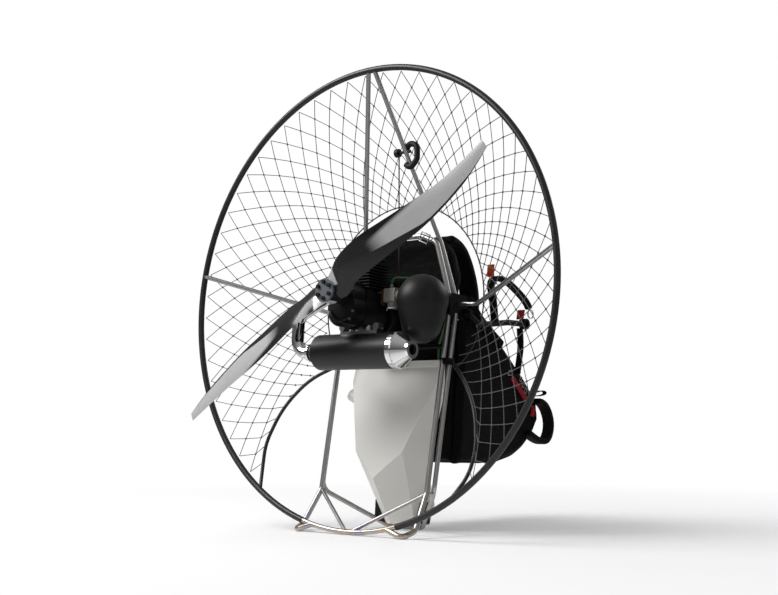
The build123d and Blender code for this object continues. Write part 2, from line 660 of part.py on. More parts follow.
bracket = block(BRACKET_X, BRACKET_Y, (SILENCER_Z, SILENCER_Z + SILENCER_R + BRACKET_BAR))
for eye_x in BRACKET_X:
    bracket = bracket + rod(BRACKET_EYE_R, BRACKET_Y, eye_x, BRACKET_EYE_Z)
    bracket = bracket + block(
        (eye_x - BRACKET_POST / 2, eye_x + BRACKET_POST / 2), BRACKET_Y, (SILENCER_Z, BRACKET_EYE_Z)
    )
bracket = bracket - silencer - redrive - case
for post in posts:
    bracket = bracket - post
NODES["silencer_bracket"] = [largest(bracket)]

# Fuel tank: an extruded side outline with the slanting facets cut on
tank_bottom = rail_front_z + FRONT_TUBE / 2 + SIT_GAP
tank_half = FRAME_WAIST[0] - TANK_SIDE_GAP
chin_y, chin_z = TANK_CHIN[0], tank_bottom + TANK_CHIN[1]


def rear_face_y(z):
    """Depth of the tank's flat rear face at a height."""
    return chin_y + (TANK_TOP_REAR_Y - chin_y) * (z - chin_z) / (TANK_TOP_Z - chin_z)


tank_outline = Polyline(
    (TANK_TOP_REAR_Y, TANK_TOP_Z),
    (TANK_FRONT_Y, TANK_TOP_Z),
    TANK_FRONT_KNEE,
    (TANK_BOTTOM_FRONT_Y, tank_bottom + TANK_FRONT_RISE),
    (TANK_BOTTOM_FRONT_Y, tank_bottom),
    (chin_y, tank_bottom),
    (chin_y, chin_z),
    close=True,
)
tank = extrude(Plane.YZ * make_face(tank_outline), tank_half, both=True)
knee_z = tank_bottom + TANK_KNEE[1]
tank_heart = (0.0, TANK_FRONT_Y, knee_z)
for sign in (-1, 1):
    shoulder = (sign * tank_half, rear_face_y(TANK_SHOULDER_Z), TANK_SHOULDER_Z)
    knee = (sign * TANK_KNEE[0], rear_face_y(knee_z), knee_z)
    heel = (sign * TANK_HEEL[0], TANK_HEEL[1], tank_bottom + TANK_HEEL[2])
    tank = trim(tank, shoulder, knee, heel, tank_heart)
    tank = trim(tank, knee, (0, chin_y, chin_z), heel, tank_heart)
lip_y = (TANK_TOP_REAR_Y - TANK_LIP, TANK_FRONT_Y)
tank = tank + block((-tank_half, tank_half), lip_y, (TANK_TOP_Z - TANK_LIP_HEIGHT, TANK_TOP_Z))
tank = largest(tank - front_tube)
cap_place = Pos(*TANK_CAP_SPOT) * Rot(0, -90 + TANK_CAP_RISE, 0)
cap = cap_place * Pos(0, 0, TANK_CAP_HEIGHT / 2) * Cylinder(TANK_CAP_R, TANK_CAP_HEIGHT * 2)
NODES["fuel_tank"] = [tank]
NODES["tank_cap"] = [largest(cap - tank)]


def rail_at(x):
    """Centre of the right floor rail at a distance from the middle."""
    t = (front_foot[0] - x) / (front_foot[0] - rail_corner[0])
    return [a + t * (b - a) for a, b in zip(front_foot, rail_corner)]


clip_spot = rail_at(TANK_CLIP_X[1] - FRONT_TUBE)
clip_y = (clip_spot[1] - TANK_CLIP_LENGTH / 2, clip_spot[1] + TANK_CLIP_LENGTH / 2)
clip = block(TANK_CLIP_X, clip_y, (clip_spot[2], clip_spot[2] + TANK_CLIP_HEIGHT))
NODES["tank_clips"] = pair(largest(clip - front_tube - tank))

# Pull starter: cord, pulley on its bolt through the arm, and the grip
px, py, pz = PULLEY_CENTRE
cord_head = (px + PULLEY_WIDTH / 2, py, pz - PULLEY_R - SIT_GAP)
cord = tube((STARTER_CORD_FOOT, cord_head), STARTER_CORD) - NODES["starter_housing"][0]
NODES["starter_cord"] = [largest(cord)]
pulley = cross_rod(PULLEY_R, (px - PULLEY_WIDTH / 2, px + PULLEY_WIDTH / 2), py, pz)
pulley = pulley + cross_rod(PULLEY_BOLT_R, (px, PULLEY_BOLT_END_X), py, pz)
NODES["starter_pulley"] = (pulley - top_arm).solids()
grip = tube([(x, HANDLE_Y, z) for x, z in HANDLE_POINTS], HANDLE_GRIP, 16.0) - top_arm - pulley
NODES["starter_handle"] = [largest(grip)]

# Swing arms with the hang loops
def swing_arm(sign):
    x = sign * swing_x
    points = [(x, PIVOT_Y, PIVOT_Z)] + [(x, y, z) for y, z in SWING_POINTS]
    arm = tube(points, SWING_TUBE, [40.0, 120.0])
    arm = arm + cross_rod(SWING_EYE_R, (x - SWING_EYE_WIDTH / 2, x + SWING_EYE_WIDTH / 2), PIVOT_Y, PIVOT_Z)
    end_y, end_z = SWING_POINTS[-1]
    arm = arm + cross_rod(HANG_EYE_R, (x - SWING_EYE_WIDTH / 2, x + SWING_EYE_WIDTH / 2), end_y, end_z)
    arm = arm - cross_rod(PIVOT_PIN_R + PIVOT_PLAY, (x - 30, x + 30), PIVOT_Y, PIVOT_Z)
    return arm - cross_rod(HANG_BORE_R, (x - 30, x + 30), end_y, end_z)


for name, sign in (("right", 1), ("left", -1)):
    arm = swing_arm(sign)
    NODES["swing_arm_" + name] = [arm]
    points = ((HANG_STRAP_BASE_Y, SWING_POINTS[0][1] + 10),) + HANG_STRAP_POINTS
    webbing = strap(points, sign * swing_x, HANG_STRAP_WIDTH, HANG_STRAP_THICK, [14.0, 20.0, 40.0, 40.0, 12.0])
    NODES["hang_strap_" + name] = [largest(webbing - arm)]
    (back_y, back_z), (tip_y, tip_z) = HANG_STRAP_POINTS[-2:]
    run = math.hypot(tip_y - back_y, tip_z - back_z)
    hang = HANG_RING_R + HANG_RING_WIRE / 2 + SIT_GAP
    ring_y = tip_y + hang * (tip_y - back_y) / run
    ring_z = tip_z + hang * (tip_z - back_z) / run
    ring = Pos(sign * swing_x, ring_y, ring_z) * Rot(0, 90, 0) * Torus(HANG_RING_R, HANG_RING_WIRE / 2)
    NODES["hang_ring_" + name] = [ring]

# Harness: back panel, bucket seat, shoulder and leg straps
panel = block((-BACK_HALF, BACK_HALF), BACK_Y, BACK_Z)
panel = fillet(panel.edges().filter_by(Axis.Y), 70)
NODES["back_panel"] = [panel]
seat_outer = extrude(Plane.YZ * make_face(Polyline(*SEAT_OUTLINE, close=True)), SEAT_HALF, both=True)
inside = block(
    (-SEAT_HALF + SEAT_WALL, SEAT_HALF - SEAT_WALL),
    (SEAT_REAR_Y + SEAT_WALL, 2 * HOOP_R),
    (SEAT_OUTLINE[-1][1] + SEAT_FLOOR, HOOP_R),
)
NODES["seat"] = [seat_outer - inside]
shoulder = strap(SHOULDER_POINTS, SHOULDER_X, SHOULDER_WIDTH, SHOULDER_THICK, [40.0, 60.0, 80.0, 60.0, 40.0])
shoulder = largest(shoulder - panel - NODES["seat"][0])
NODES["shoulder_straps"] = pair(shoulder)
leg = strap(LEG_STRAP_POINTS, LEG_STRAP_X - 10, LEG_STRAP_WIDTH, LEG_STRAP_THICK, [20.0, 30.0, 24.0]) - NODES["seat"][0]
NODES["leg_straps"] = pair(largest(leg))

# Lean to the stance, stand the lowest point on the floor and centre the box over the origin
placed = {name: [lean(solid) for solid in solids] for name, solids in NODES.items()}
everything = Compound([solid for solids in placed.values() for solid in solids])
box = everything.bounding_box()
shift = Pos(-(box.min.X + box.max.X) / 2, -(box.min.Y + box.max.Y) / 2, -box.min.Z)

os.makedirs("parts", exist_ok=True)
for name, solids in placed.items():
    export_step(Compound([shift * solid for solid in solids]), f"parts/{name}.step")
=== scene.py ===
# %% [markdown]
# # Dressing a paramotor
# A paramotor is a small engine and propeller that a pilot wears like a rucksack, inside a round
# guard hoop with a net. The frame that this script loads already has every rigid piece at its
# real size and place. This lesson gives each piece its finish, and makes what is soft or fine:
# the knotted net, the padded harness, the webbing and the small hardware.

# %% Load the frame
import json
import math

import bmesh
import bpy
from mathutils import Matrix, Vector


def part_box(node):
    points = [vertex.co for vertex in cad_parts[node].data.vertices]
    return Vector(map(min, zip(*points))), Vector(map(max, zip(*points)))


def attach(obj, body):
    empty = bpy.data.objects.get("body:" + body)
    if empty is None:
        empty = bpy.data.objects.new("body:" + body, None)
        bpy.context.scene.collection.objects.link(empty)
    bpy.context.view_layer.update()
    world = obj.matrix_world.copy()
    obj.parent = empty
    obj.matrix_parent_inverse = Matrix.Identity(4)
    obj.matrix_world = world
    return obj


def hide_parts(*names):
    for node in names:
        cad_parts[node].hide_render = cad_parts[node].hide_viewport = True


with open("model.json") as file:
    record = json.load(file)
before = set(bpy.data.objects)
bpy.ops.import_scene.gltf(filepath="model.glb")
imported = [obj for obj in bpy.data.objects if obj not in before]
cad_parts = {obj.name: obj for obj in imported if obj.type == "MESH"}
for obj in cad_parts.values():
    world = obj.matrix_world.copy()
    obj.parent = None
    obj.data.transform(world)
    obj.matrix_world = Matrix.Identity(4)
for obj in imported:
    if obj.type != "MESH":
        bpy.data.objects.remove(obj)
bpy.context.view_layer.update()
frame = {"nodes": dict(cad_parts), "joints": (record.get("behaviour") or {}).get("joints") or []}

scene = bpy.context.scene
scene.view_settings.view_transform = "Standard"

# %% [markdown]
# ## One working frame for every new piece
# The machine leans a little, because it stands on its feet and its base rail. It is far easier to
# model in the machine's own upright frame, with the hoop's centre as the origin and millimetres as
# the unit, and to lean the finished mesh. The lean is read from the propeller's axis, and the hoop's
# centre from the boxes of its tubes, so nothing has to be fitted by eye.

# %% The machine's own frame
MM = 0.001
HOOP_TUBE_R = 9.5
spin_axis = next(j["axis"] for j in frame["joints"] if j["name"] == "propeller_spin")
lean = math.atan2(-spin_axis[2], spin_axis[1])
hoop_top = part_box("hoop_upper_right")[1]
hoop_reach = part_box("hoop_lower_right")[1].x
HOOP_R = hoop_reach / MM - HOOP_TUBE_R
hoop_centre = Vector((
    0.0,
    hoop_top.y - (HOOP_R * math.sin(lean) + HOOP_TUBE_R) * MM,
    hoop_top.z - (HOOP_R * math.cos(lean) + HOOP_TUBE_R) * MM,
))
STANCE = Matrix.Translation(hoop_centre) @ Matrix.Rotation(-lean, 4, "X") @ Matrix.Scale(MM, 4)
print("hoop radius", round(HOOP_R, 1), "mm, centre", [round(c, 4) for c in hoop_centre])

# %% [markdown]
# ## Camera
# The picture was taken from behind and to the right, from a little below the hoop's centre, with a
# long lens. The camera is placed from the hoop's centre, so it keeps its view of the machine.

# %% Camera
AZIMUTH = math.radians(40.047)
ELEVATION = math.radians(-4.741)
CAMERA_FROM_HOOP = Vector((2.62673, -2.99163, -0.33596))
LENS = 62.51


def look_matrix(azimuth, elevation):
    """Axes of a camera that stands at an azimuth and an elevation and looks back at the origin."""
    back = Vector((
        math.sin(azimuth) * math.cos(elevation),
        -math.cos(azimuth) * math.cos(elevation),
        math.sin(elevation),
    ))
    right = Vector((math.cos(azimuth), math.sin(azimuth), 0))
    up = back.cross(right)
    return Matrix((right, up, back)).transposed().to_4x4()


camera_data = bpy.data.cameras.new("photo_camera")
camera_data.lens = LENS
camera_data.sensor_width = 36
camera = bpy.data.objects.new("photo_camera", camera_data)
camera.matrix_world = Matrix.Translation(hoop_centre + CAMERA_FROM_HOOP) @ look_matrix(AZIMUTH, ELEVATION)
scene.collection.objects.link(camera)
scene.camera = camera

# %% [markdown]
# ## A small language for finishes
# Shader graphs are easier to read as sums than as wires. One small class wraps a socket and overloads
# the operators, so that `1 - mask` adds a Math node. Every other node comes from one method that takes
# its type, its settings and its sockets. A graph belongs to a material or to the world.

# %% Sockets as numbers


class Wire:
    """A shader socket that can be used in Python sums."""

    def __init__(self, graph, socket):
        self.graph = graph
        self.socket = socket

    def math(self, operation, other=None, flip=False):
        sides = [other, self] if flip else [self, other]
        inputs = {i: value for i, value in enumerate(sides) if value is not None}
        return self.graph.node("ShaderNodeMath", {"operation": operation}, inputs)

    def __add__(self, other):
        return self.math("ADD", other)

    def __sub__(self, other):
        return self.math("SUBTRACT", other)

    def __rsub__(self, other):
        return self.math("SUBTRACT", other, flip=True)

    def __mul__(self, other):
        return self.math("MULTIPLY", other)

    def __truediv__(self, other):
        return self.math("DIVIDE", other)

    def __abs__(self):
        return self.math("ABSOLUTE")

    __radd__ = __add__
    __rmul__ = __mul__

    def wave(self):
        """Sine, brought to 0 to 1."""
        return self.math("SINE") * 0.5 + 0.5

    def ramp_up(self, low, high):
        """0 below low, 1 above high, and a straight line between."""
        inputs = {"Value": self, "From Min": low, "From Max": high}
        return self.graph.node("ShaderNodeMapRange", {"clamp": True}, inputs)


class Graph:
    """A shader graph, built node by node."""

    def __init__(self, tree, output_kind):
        self.tree = tree
        self.tree.nodes.clear()
        self.output = self.tree.nodes.new(output_kind)

    def node(self, kind, settings=None, inputs=None, out=0):
        made = self.tree.nodes.new(kind)
        for key, value in (settings or {}).items():
            if key == "stops":
                self.set_stops(made.color_ramp, value)
            else:
                setattr(made, key, value)
        for key, value in (inputs or {}).items():
            self.plug(value, made.inputs[key])
        return Wire(self, made.outputs[out])

    def set_stops(self, ramp, stops):
        while len(ramp.elements) < len(stops):
            ramp.elements.new(0.5)
        for element, (position, colour) in zip(ramp.elements, stops):
            element.position = position
            element.color = colour

    def plug(self, value, socket):
        if isinstance(value, Wire):
            self.tree.links.new(value.socket, socket)
        else:
            socket.default_value = value

    def place(self, **mapping):
        """Object coordinates, moved, turned or scaled by a Mapping node."""
        where = self.node("ShaderNodeTexCoord", out="Object")
        if not mapping:
            return where
        kind = mapping.pop("kind", "POINT")
        return self.node("ShaderNodeMapping", {"vector_type": kind}, {"Vector": where, **mapping})

    def cloth_place(self):
        """The piece's own UV map: across in u, along in v, both in metres."""
        return self.node("ShaderNodeUVMap", {"uv_map": "weave"})

    def split(self, vector):
        parts = self.node("ShaderNodeSeparateXYZ", {}, {0: vector}).socket.node
        return [Wire(self, socket) for socket in parts.outputs]

    def noise(self, vector, scale, detail=2.0, rough=0.5):
        inputs = {"Vector": vector, "Scale": scale, "Detail": detail, "Roughness": rough}
        return self.node("ShaderNodeTexNoise", {}, inputs)

    def mix(self, factor, low, high):
        return self.node("ShaderNodeMix", {"data_type": "RGBA"}, {0: factor, 6: low, 7: high}, out=2)

    def finish_with(self, shader):
        self.tree.links.new(shader.socket, self.output.inputs["Surface"])


class Finish(Graph):
    """A material with one surface shader."""

    def __init__(self, name):
        self.material = bpy.data.materials.new(name)
        self.material.use_nodes = True
        super().__init__(self.material.node_tree, "ShaderNodeOutputMaterial")

    def surface(self, base, rough, metal=0.0, height=None, bump=0.2, depth=0.0005, **fixed):
        inputs = {"Base Color": base, "Roughness": rough, "Metallic": metal, **fixed}
        if height is not None:
            sockets = {"Strength": bump, "Distance": depth, "Height": height}
            inputs["Normal"] = self.node("ShaderNodeBump", {}, sockets)
        self.finish_with(self.node("ShaderNodeBsdfPrincipled", {}, inputs))
        return self.material


def grey(value, warm=0.0):
    return (value * (1 + warm), value, value * (1 - warm), 1.0)


# %% [markdown]
# ## Studio
# A pale floor, a white surround and large soft lamps. The surround is white where the camera sees it,
# and darker toward the horizon where the metal mirrors it, because round tubes only look round when
# there is something dark for them to reflect.

# %% Floor, surround and lamps
FLOOR_SIZE = 60.0
WHITE = (1.0, 1.0, 1.0, 1.0)
HORIZON_SHADE = (0.12, 0.12, 0.125, 1.0)
MIRRORED_STRENGTH = 0.42


def make_floor():
    bm = bmesh.new()
    bmesh.ops.create_grid(bm, x_segments=1, y_segments=1, size=FLOOR_SIZE / 2)
    mesh = bpy.data.meshes.new("floor")
    bm.to_mesh(mesh)
    bm.free()
    floor = bpy.data.objects.new("floor", mesh)
    scene.collection.objects.link(floor)
    return floor


def make_surround():
    world = bpy.data.worlds.new("studio")
    world.use_nodes = True
    scene.world = world
    g = Graph(world.node_tree, "ShaderNodeOutputWorld")
    height = g.split(g.node("ShaderNodeTexCoord", out="Generated"))[2]
    stops = [(0.5, HORIZON_SHADE), (1.0, WHITE)]
    shade = g.node("ShaderNodeValToRGB", {"stops": stops}, {0: height * 0.5 + 0.5})
    mirrored = g.node("ShaderNodeBackground", {}, {"Color": shade, "Strength": MIRRORED_STRENGTH})
    seen = g.node("ShaderNodeBackground", {}, {"Color": WHITE, "Strength": 1.0})
    camera_ray = g.node("ShaderNodeLightPath", out="Is Camera Ray")
    g.finish_with(g.node("ShaderNodeMixShader", {}, {0: camera_ray, 1: mirrored, 2: seen}))


def soft_lamp(name, place, aim, size, power):
    data = bpy.data.lights.new(name, "AREA")
    data.shape = "RECTANGLE"
    data.size, data.size_y = size
    data.energy = power
    lamp = bpy.data.objects.new(name, data)
    lamp.location = place
    lamp.rotation_euler = (Vector(aim) - Vector(place)).to_track_quat("-Z", "Y").to_euler()
    scene.collection.objects.link(lamp)


floor = make_floor()
make_surround()
# Lamps: name, place and aim in metres, size, power in watts
LAMPS = (
    ("key_left", (-2.6, -2.6, 3.6), (0, 0, 0.6), (2.4, 2.4), 210),
    ("fill_right", (4.2, -1.2, 2.2), (0, 0, 0.6), (1.6, 2.6), 12),
    ("rim_behind", (1.0, 4.0, 2.8), (0, 0, 0.8), (3.0, 1.2), 40),
    ("camera_strip", (1.2, -4.6, 1.9), (0, 0, 0.7), (0.8, 2.6), 8),
)
for row in LAMPS:
    soft_lamp(*row)

# %% [markdown]
# ## Metals and paints
# The floor glows a little more the further it lies from the machine, so that it runs into the white
# surround with no line. Only the camera sees the whole glow, so that it doesn't light the machine from
# below. The hoop is powder coated: a fine pebbled skin over a dark colour. The frame is bare satin
# titanium, with long drawn streaks, and its feet carry the straw and blue tints that welding heat
# leaves. Both are noise at two scales. The streaks are noise squeezed along the tube's main direction.

# %% Floor, hoop, frame and plain paints


GLOW_FROM_TO = (0.5, 2.6)
UNSEEN_GLOW = 0.25


def floor_finish():
    f = Finish("pale_floor")
    where = f.place()
    x, y, _ = f.split(where)
    away = (x * x + y * y).math("SQRT").ramp_up(*GLOW_FROM_TO)
    cloud = f.noise(where, 3.0)
    lit = f.mix(away, f.mix(cloud, grey(0.84), grey(0.88)), grey(0.0))
    seen = f.node("ShaderNodeLightPath")
    glow = f.mix(away * (seen * (1 - UNSEEN_GLOW) + UNSEEN_GLOW), grey(0.16), grey(1.0))
    fixed = {"Emission Color": glow, "Emission Strength": 1.0, "Specular IOR Level": 0.0}
    return f.surface(lit, 0.8, **fixed)


def powder_coat(name, value, rough=0.42, pebble=900.0, shine=0.35):
    f = Finish(name)
    where = f.place()
    grain = f.noise(where, pebble)
    cloud = f.noise(where, 9.0, 3.0)
    tone = f.mix(cloud, grey(value * 0.8), grey(value * 1.25))
    return f.surface(tone, cloud * 0.14 + (rough - 0.07), height=grain, bump=0.06, depth=0.0001,
                     **{"Specular IOR Level": shine})


def satin_titanium():
    f = Finish("satin_titanium")
    where = f.place()
    streaks = f.noise(f.place(Scale=(90.0, 90.0, 12.0)), 6.0, 4.0)
    cloud = f.noise(where, 14.0, 3.0)
    height = f.split(where)[2]
    tone = f.mix(streaks, grey(0.34, 0.03), grey(0.50, 0.02))
    foot = 1 - height.ramp_up(0.02, 0.11)
    tint = f.node("ShaderNodeValToRGB", {"stops": [
        (0.0, (0.44, 0.43, 0.41, 1)),
        (0.42, (0.44, 0.43, 0.41, 1)),
        (0.52, (0.55, 0.42, 0.26, 1)),
        (0.62, (0.30, 0.24, 0.33, 1)),
        (0.70, (0.26, 0.34, 0.48, 1)),
        (0.82, (0.44, 0.43, 0.41, 1)),
    ]}, {0: cloud * 1.2 - 0.05})
    tone = f.mix(foot * 0.55, tone, tint)
    return f.surface(tone, streaks * 0.16 + 0.24, 1.0, height=streaks, bump=0.08, depth=0.0002)


def polished(name, colour, rough):
    f = Finish(name)
    where = f.place()
    smear = f.noise(where, 26.0, 4.0)
    scratch = f.noise(f.place(Scale=(1.0, 30.0, 30.0)), 40.0, 3.0)
    dark = tuple(c * 0.86 for c in colour[:3]) + (1.0,)
    tone = f.mix(smear, dark, colour)
    return f.surface(tone, smear * 0.10 + rough, 1.0, height=scratch, bump=0.04, depth=0.0001)


def machined_alloy(name, value):
    f = Finish(name)
    where = f.place()
    fine = f.noise(where, 420.0)
    cloud = f.noise(where, 30.0, 3.0)
    tone = f.mix(cloud, grey(value * 0.85), grey(value * 1.1))
    return f.surface(tone, fine * 0.18 + 0.26, 1.0, height=fine, bump=0.10, depth=0.0002)


def cast_black(name, value, rough=0.48):
    f = Finish(name)
    where = f.place()
    grain = f.noise(where, 520.0, 3.0)
    wear = f.noise(where, 34.0, 5.0, 0.65).ramp_up(0.60, 0.74)
    tone = f.mix(wear, grey(value), grey(value * 2.6))
    return f.surface(tone, rough - wear * 0.12, 0.0, height=grain, bump=0.25, depth=0.0004,
                     **{"Specular IOR Level": 0.22})


# %% [markdown]
# ## Plastics and rubber
# Moulded plastic is never quite flat: it has a soft orange-peel skin and a slightly uneven gloss.

# %% Plastics, rubber and hose


def moulded(name, colour, rough, peel=160.0, shine=0.5):
    f = Finish(name)
    where = f.place()
    skin = f.noise(where, peel, 2.0)
    cloud = f.noise(where, 5.0, 3.0)
    dark = tuple(c * 0.94 for c in colour[:3]) + (1.0,)
    tone = f.mix(cloud, dark, colour)
    return f.surface(tone, cloud * 0.10 + (rough - 0.05), height=skin, bump=0.08, depth=0.0006,
                     **{"Specular IOR Level": shine})


def braided(name, colour, pitch=0.006):
    f = Finish(name)
    x, y, z = f.split(f.place())
    strand = (z * (6.2832 / pitch) + x * 900.0).wave() * (z * (6.2832 / pitch) - y * 900.0).wave()
    dark = tuple(c * 0.45 for c in colour[:3]) + (1.0,)
    return f.surface(f.mix(strand, dark, colour), 0.8, height=strand, bump=0.5, depth=0.0006)


# %% [markdown]
# ## Propeller finish
# The blades are black carbon cloth under clear lacquer. Next to the hub, on the root's trailing side, silver
# is painted in as a painted highlight for the light on the glossy root. From about a third of the radius a
# silver wedge opens between the edges and fills the blade. A thin black stripe stays along the leading
# edge. The pattern is drawn in the propeller's own frame: a Mapping node of type Texture undoes the lean
# and the blade's angle, so x runs along the blade, and z runs across it to the trailing edge.

# %% Propeller finish
PROP_ANGLE = math.radians(32.3)
PROP_R = 0.652
hub_centre = Vector(next(j["pos_m"] for j in frame["joints"] if j["name"] == "propeller_spin"))
PROP_TURN = (Matrix.Rotation(-lean, 3, "X") @ Matrix.Rotation(-PROP_ANGLE, 3, "Y")).to_euler("XYZ")
# Blade stations: share of the radius, chord, pitch, thickness, shift of the mid chord to the trailing
# edge, and the mid chord's place ahead of the chord plane, in millimetres and degrees
BLADE_STATIONS = (
    (0.034, 72.0, 18.0, 30.0, -7.0, 5.0),
    (0.077, 90.0, 22.0, 28.0, -10.0, 3.0),
    (0.138, 87.0, 27.0, 24.0, 0.5, -14.0),
    (0.215, 94.0, 26.0, 19.0, 0.5, -20.0),
    (0.307, 97.0, 24.0, 15.5, 1.0, -17.0),
    (0.429, 89.0, 19.8, 12.5, -2.0, -6.0),
    (0.567, 82.5, 15.4, 10.0, -6.5, 2.0),
    (0.721, 62.0, 11.0, 8.0, -6.5, 8.0),
    (0.874, 49.0, 9.0, 6.0, 2.5, 7.0),
    (1.0, 26.5, 8.0, 4.0, 19.5, 0.5),
)
EDGE_SPAN = 60.0


def leading_edge(chord, pitch, shift):
    """How far the leading edge lies below the blade's axis, as a share of the span that a ramp covers."""
    return max(0.0, chord / 2 * math.cos(math.radians(pitch)) - shift) / EDGE_SPAN


def carbon_blade():
    f = Finish("carbon_blade")
    local = f.place(kind="TEXTURE", Location=hub_centre, Rotation=PROP_TURN)
    x, y, z = f.split(local)
    radius = abs(x) / PROP_R
    across = z * x.math("SIGN") * 1000.0
    stops = [(row[0], grey(leading_edge(row[1], row[2], row[4]))) for row in BLADE_STATIONS]
    edge = f.node("ShaderNodeValToRGB", {"stops": stops}, {0: radius})
    from_edge = across + edge.math("MULTIPLY", EDGE_SPAN)
    low_band = 6.0 + (1 - radius.ramp_up(0.30, 0.62)) * 26.0
    high_band = 58.0 + radius.ramp_up(0.30, 0.72) * 26.0
    silver = (from_edge - low_band).ramp_up(-0.8, 0.8) * (high_band - from_edge).ramp_up(-6.0, 6.0)
    weave = (x * 1150.0 + z * 160.0).wave()
    silver = silver * (radius + weave * 0.02).ramp_up(0.315, 0.405)
    # Painted highlight: next to the hub, more than 40 mm back from the leading edge, the root is painted
    # silver for the light on the glossy root.
    near_hub = 1 - (radius - from_edge * 0.0004).ramp_up(0.052, 0.060)
    painted_root_highlight = (from_edge - 40.0).ramp_up(-2.0, 2.0) * near_hub
    silver = silver.math("MAXIMUM", painted_root_highlight)
    carbon = f.mix(weave, grey(0.001), grey(0.024))
    cloud = f.noise(local, 9.0, 2.0)
    paint = f.mix(cloud, grey(0.52), grey(0.62))
    tone = f.mix(silver, carbon, paint)
    rough = silver * 0.12 + 0.22
    lacquer = {"Coat Weight": 0.25, "Coat Roughness": 0.10, "Specular IOR Level": 0.2}
    weave_height = weave * (1 - silver)
    return f.surface(tone, rough, silver * 0.35, height=weave_height, bump=0.10, depth=0.0003, **lacquer)


# %% [markdown]
# ## Cloth finishes
# Harness cloth is a plain weave of thick nylon, and webbing is a heavier weave with ribs across it.
# Both are sine waves, one for each thread. Webbing is drawn in the strap's own UV map, so that the
# weave follows the strap round its bends.

# %% Cloth and webbing


def harness_cloth(name, value, pitch=0.0016):
    f = Finish(name)
    where = f.place()
    x, y, z = f.split(where)
    turns = 6.2832 / pitch
    weave = (y * turns).wave() * (z * turns).wave() + (x * turns).wave() * 0.5
    cloud = f.noise(where, 16.0, 4.0)
    bent = f.noise(where, 7.0, 2.0)
    folds = f.noise(f.place(Scale=(1.0, 0.8, 2.4)), 13.0, 3.0)
    tone = f.mix(cloud, grey(value * 0.6), grey(value * 1.5))
    height = folds * 1.0 + bent * 0.8 + weave * 0.05
    return f.surface(tone, cloud * 0.18 + 0.52, height=height, bump=0.9, depth=0.012,
                     **{"Specular IOR Level": 0.07})


def webbing_cloth(name, colour):
    f = Finish(name)
    u, v, _ = f.split(f.cloth_place())
    ribs = (v * (6.2832 / 0.0024)).wave()
    threads = (u * (6.2832 / 0.0018)).wave()
    edge = f.noise(f.place(), 60.0, 3.0)
    dark = tuple(c * 0.5 for c in colour[:3]) + (1.0,)
    tone = f.mix(ribs * 0.6 + edge * 0.4, dark, colour)
    return f.surface(tone, edge * 0.15 + 0.66, height=ribs * 0.7 + threads * 0.3, bump=0.5, depth=0.0006,
                     **{"Specular IOR Level": 0.1})


# %% Every finish once
FINISH = {
    "hoop": powder_coat("hoop_coat", 0.013, 0.38, 900.0, 0.4),
    "titanium": satin_titanium(),
    "black": powder_coat("black_coat", 0.002, 0.50, 900.0, 0.12),
    "silencer": powder_coat("silencer_coat", 0.009, 0.44, 1400.0),
    "chrome": polished("polished_steel", (0.82, 0.82, 0.82, 1), 0.06),
    "cap": polished("polished_cap", (0.86, 0.86, 0.86, 1), 0.07),
    "alloy": machined_alloy("machined_alloy", 0.62),
    "plate": moulded("hub_plate_grey", (0.10, 0.115, 0.13, 1), 0.40),
    "cast": moulded("cast_alloy", (0.30, 0.28, 0.255, 1), 0.42, 400.0),
    "steel": machined_alloy("dull_steel", 0.30),
    "engine": cast_black("cast_black", 0.0035, 0.46),
    "bolt": cast_black("black_bolts", 0.006, 0.36),
    "rubber": moulded("black_rubber", grey(0.004), 0.55, shine=0.3),
    "airbox": moulded("airbox_black", grey(0.006), 0.46, shine=0.3),
    "tank": moulded("tank_white", (0.74, 0.73, 0.69, 1), 0.44, 60.0, shine=0.35),
    "spacer": moulded("brown_laminate", (0.060, 0.018, 0.007, 1), 0.5),
    "hose": moulded("green_hose", (0.025, 0.15, 0.035, 1), 0.35),
    "net": braided("net_cord", (0.17, 0.17, 0.17, 1)),
    "rope": braided("starter_rope", (0.05, 0.012, 0.012, 1)),
    "blade": carbon_blade(),
    "cloth": harness_cloth("harness_cloth", 0.0025),
    "web": webbing_cloth("black_webbing", grey(0.004)),
    "red": webbing_cloth("red_webbing", (0.34, 0.020, 0.028, 1)),
    "orange": webbing_cloth("orange_webbing", (0.52, 0.045, 0.010, 1)),
    "blue": webbing_cloth("blue_webbing", (0.012, 0.030, 0.11, 1)),
}
floor.data.materials.append(floor_finish())

# Which finish each rigid node takes: start of the node's name, finish
NODE_FINISH = (
    ("hoop_base", "titanium"), ("hoop_", "hoop"), ("net_loops", "hoop"), ("loop_clips", "black"),
    ("arm_clamps", "black"), ("frame_", "titanium"), ("foot_", "titanium"), ("cross_", "black"),
    ("front_", "titanium"), ("base_", "titanium"), ("side_arms", "titanium"), ("top_arms", "titanium"),
    ("net_ring", "hoop"), ("net_", "net"), ("propeller", "blade"), ("hub_plate", "plate"),
    ("hub_bolts", "bolt"),
    ("drive_", "bolt"), ("reduction", "engine"), ("crankcase", "engine"), ("cylinder", "engine"),
    ("starter_housing", "engine"), ("engine_plate", "black"), ("rubber_", "rubber"), ("airbox", "airbox"),
    ("carburettor", "cast"), ("intake_", "spacer"), ("fuel_line", "hose"), ("exhaust", "chrome"),
    ("silencer_cap", "cap"), ("silencer_posts", "alloy"), ("silencer_bracket", "steel"),
    ("silencer", "silencer"), ("fuel_tank", "tank"), ("tank_cap", "tank"), ("tank_", "rubber"),
    ("starter_cord", "rope"),
    ("starter_", "rubber"), ("swing_", "black"), ("hang_ring", "chrome"), ("hang_", "web"),
    ("leg_", "web"), ("", "cloth"),
)
for name, node in frame["nodes"].items():
    finish = next(kind for start, kind in NODE_FINISH if name.startswith(start))
    node.data.materials.clear()
    node.data.materials.append(FINISH[finish])
print(len(FINISH), "finishes")

# %% [markdown]
# ## From a bmesh to a piece
# Each new shape is modelled in the upright working frame in millimetres. One function leans it to the
# stance, makes its object at the origin, gives it its finish and ties it to the body that carries it.

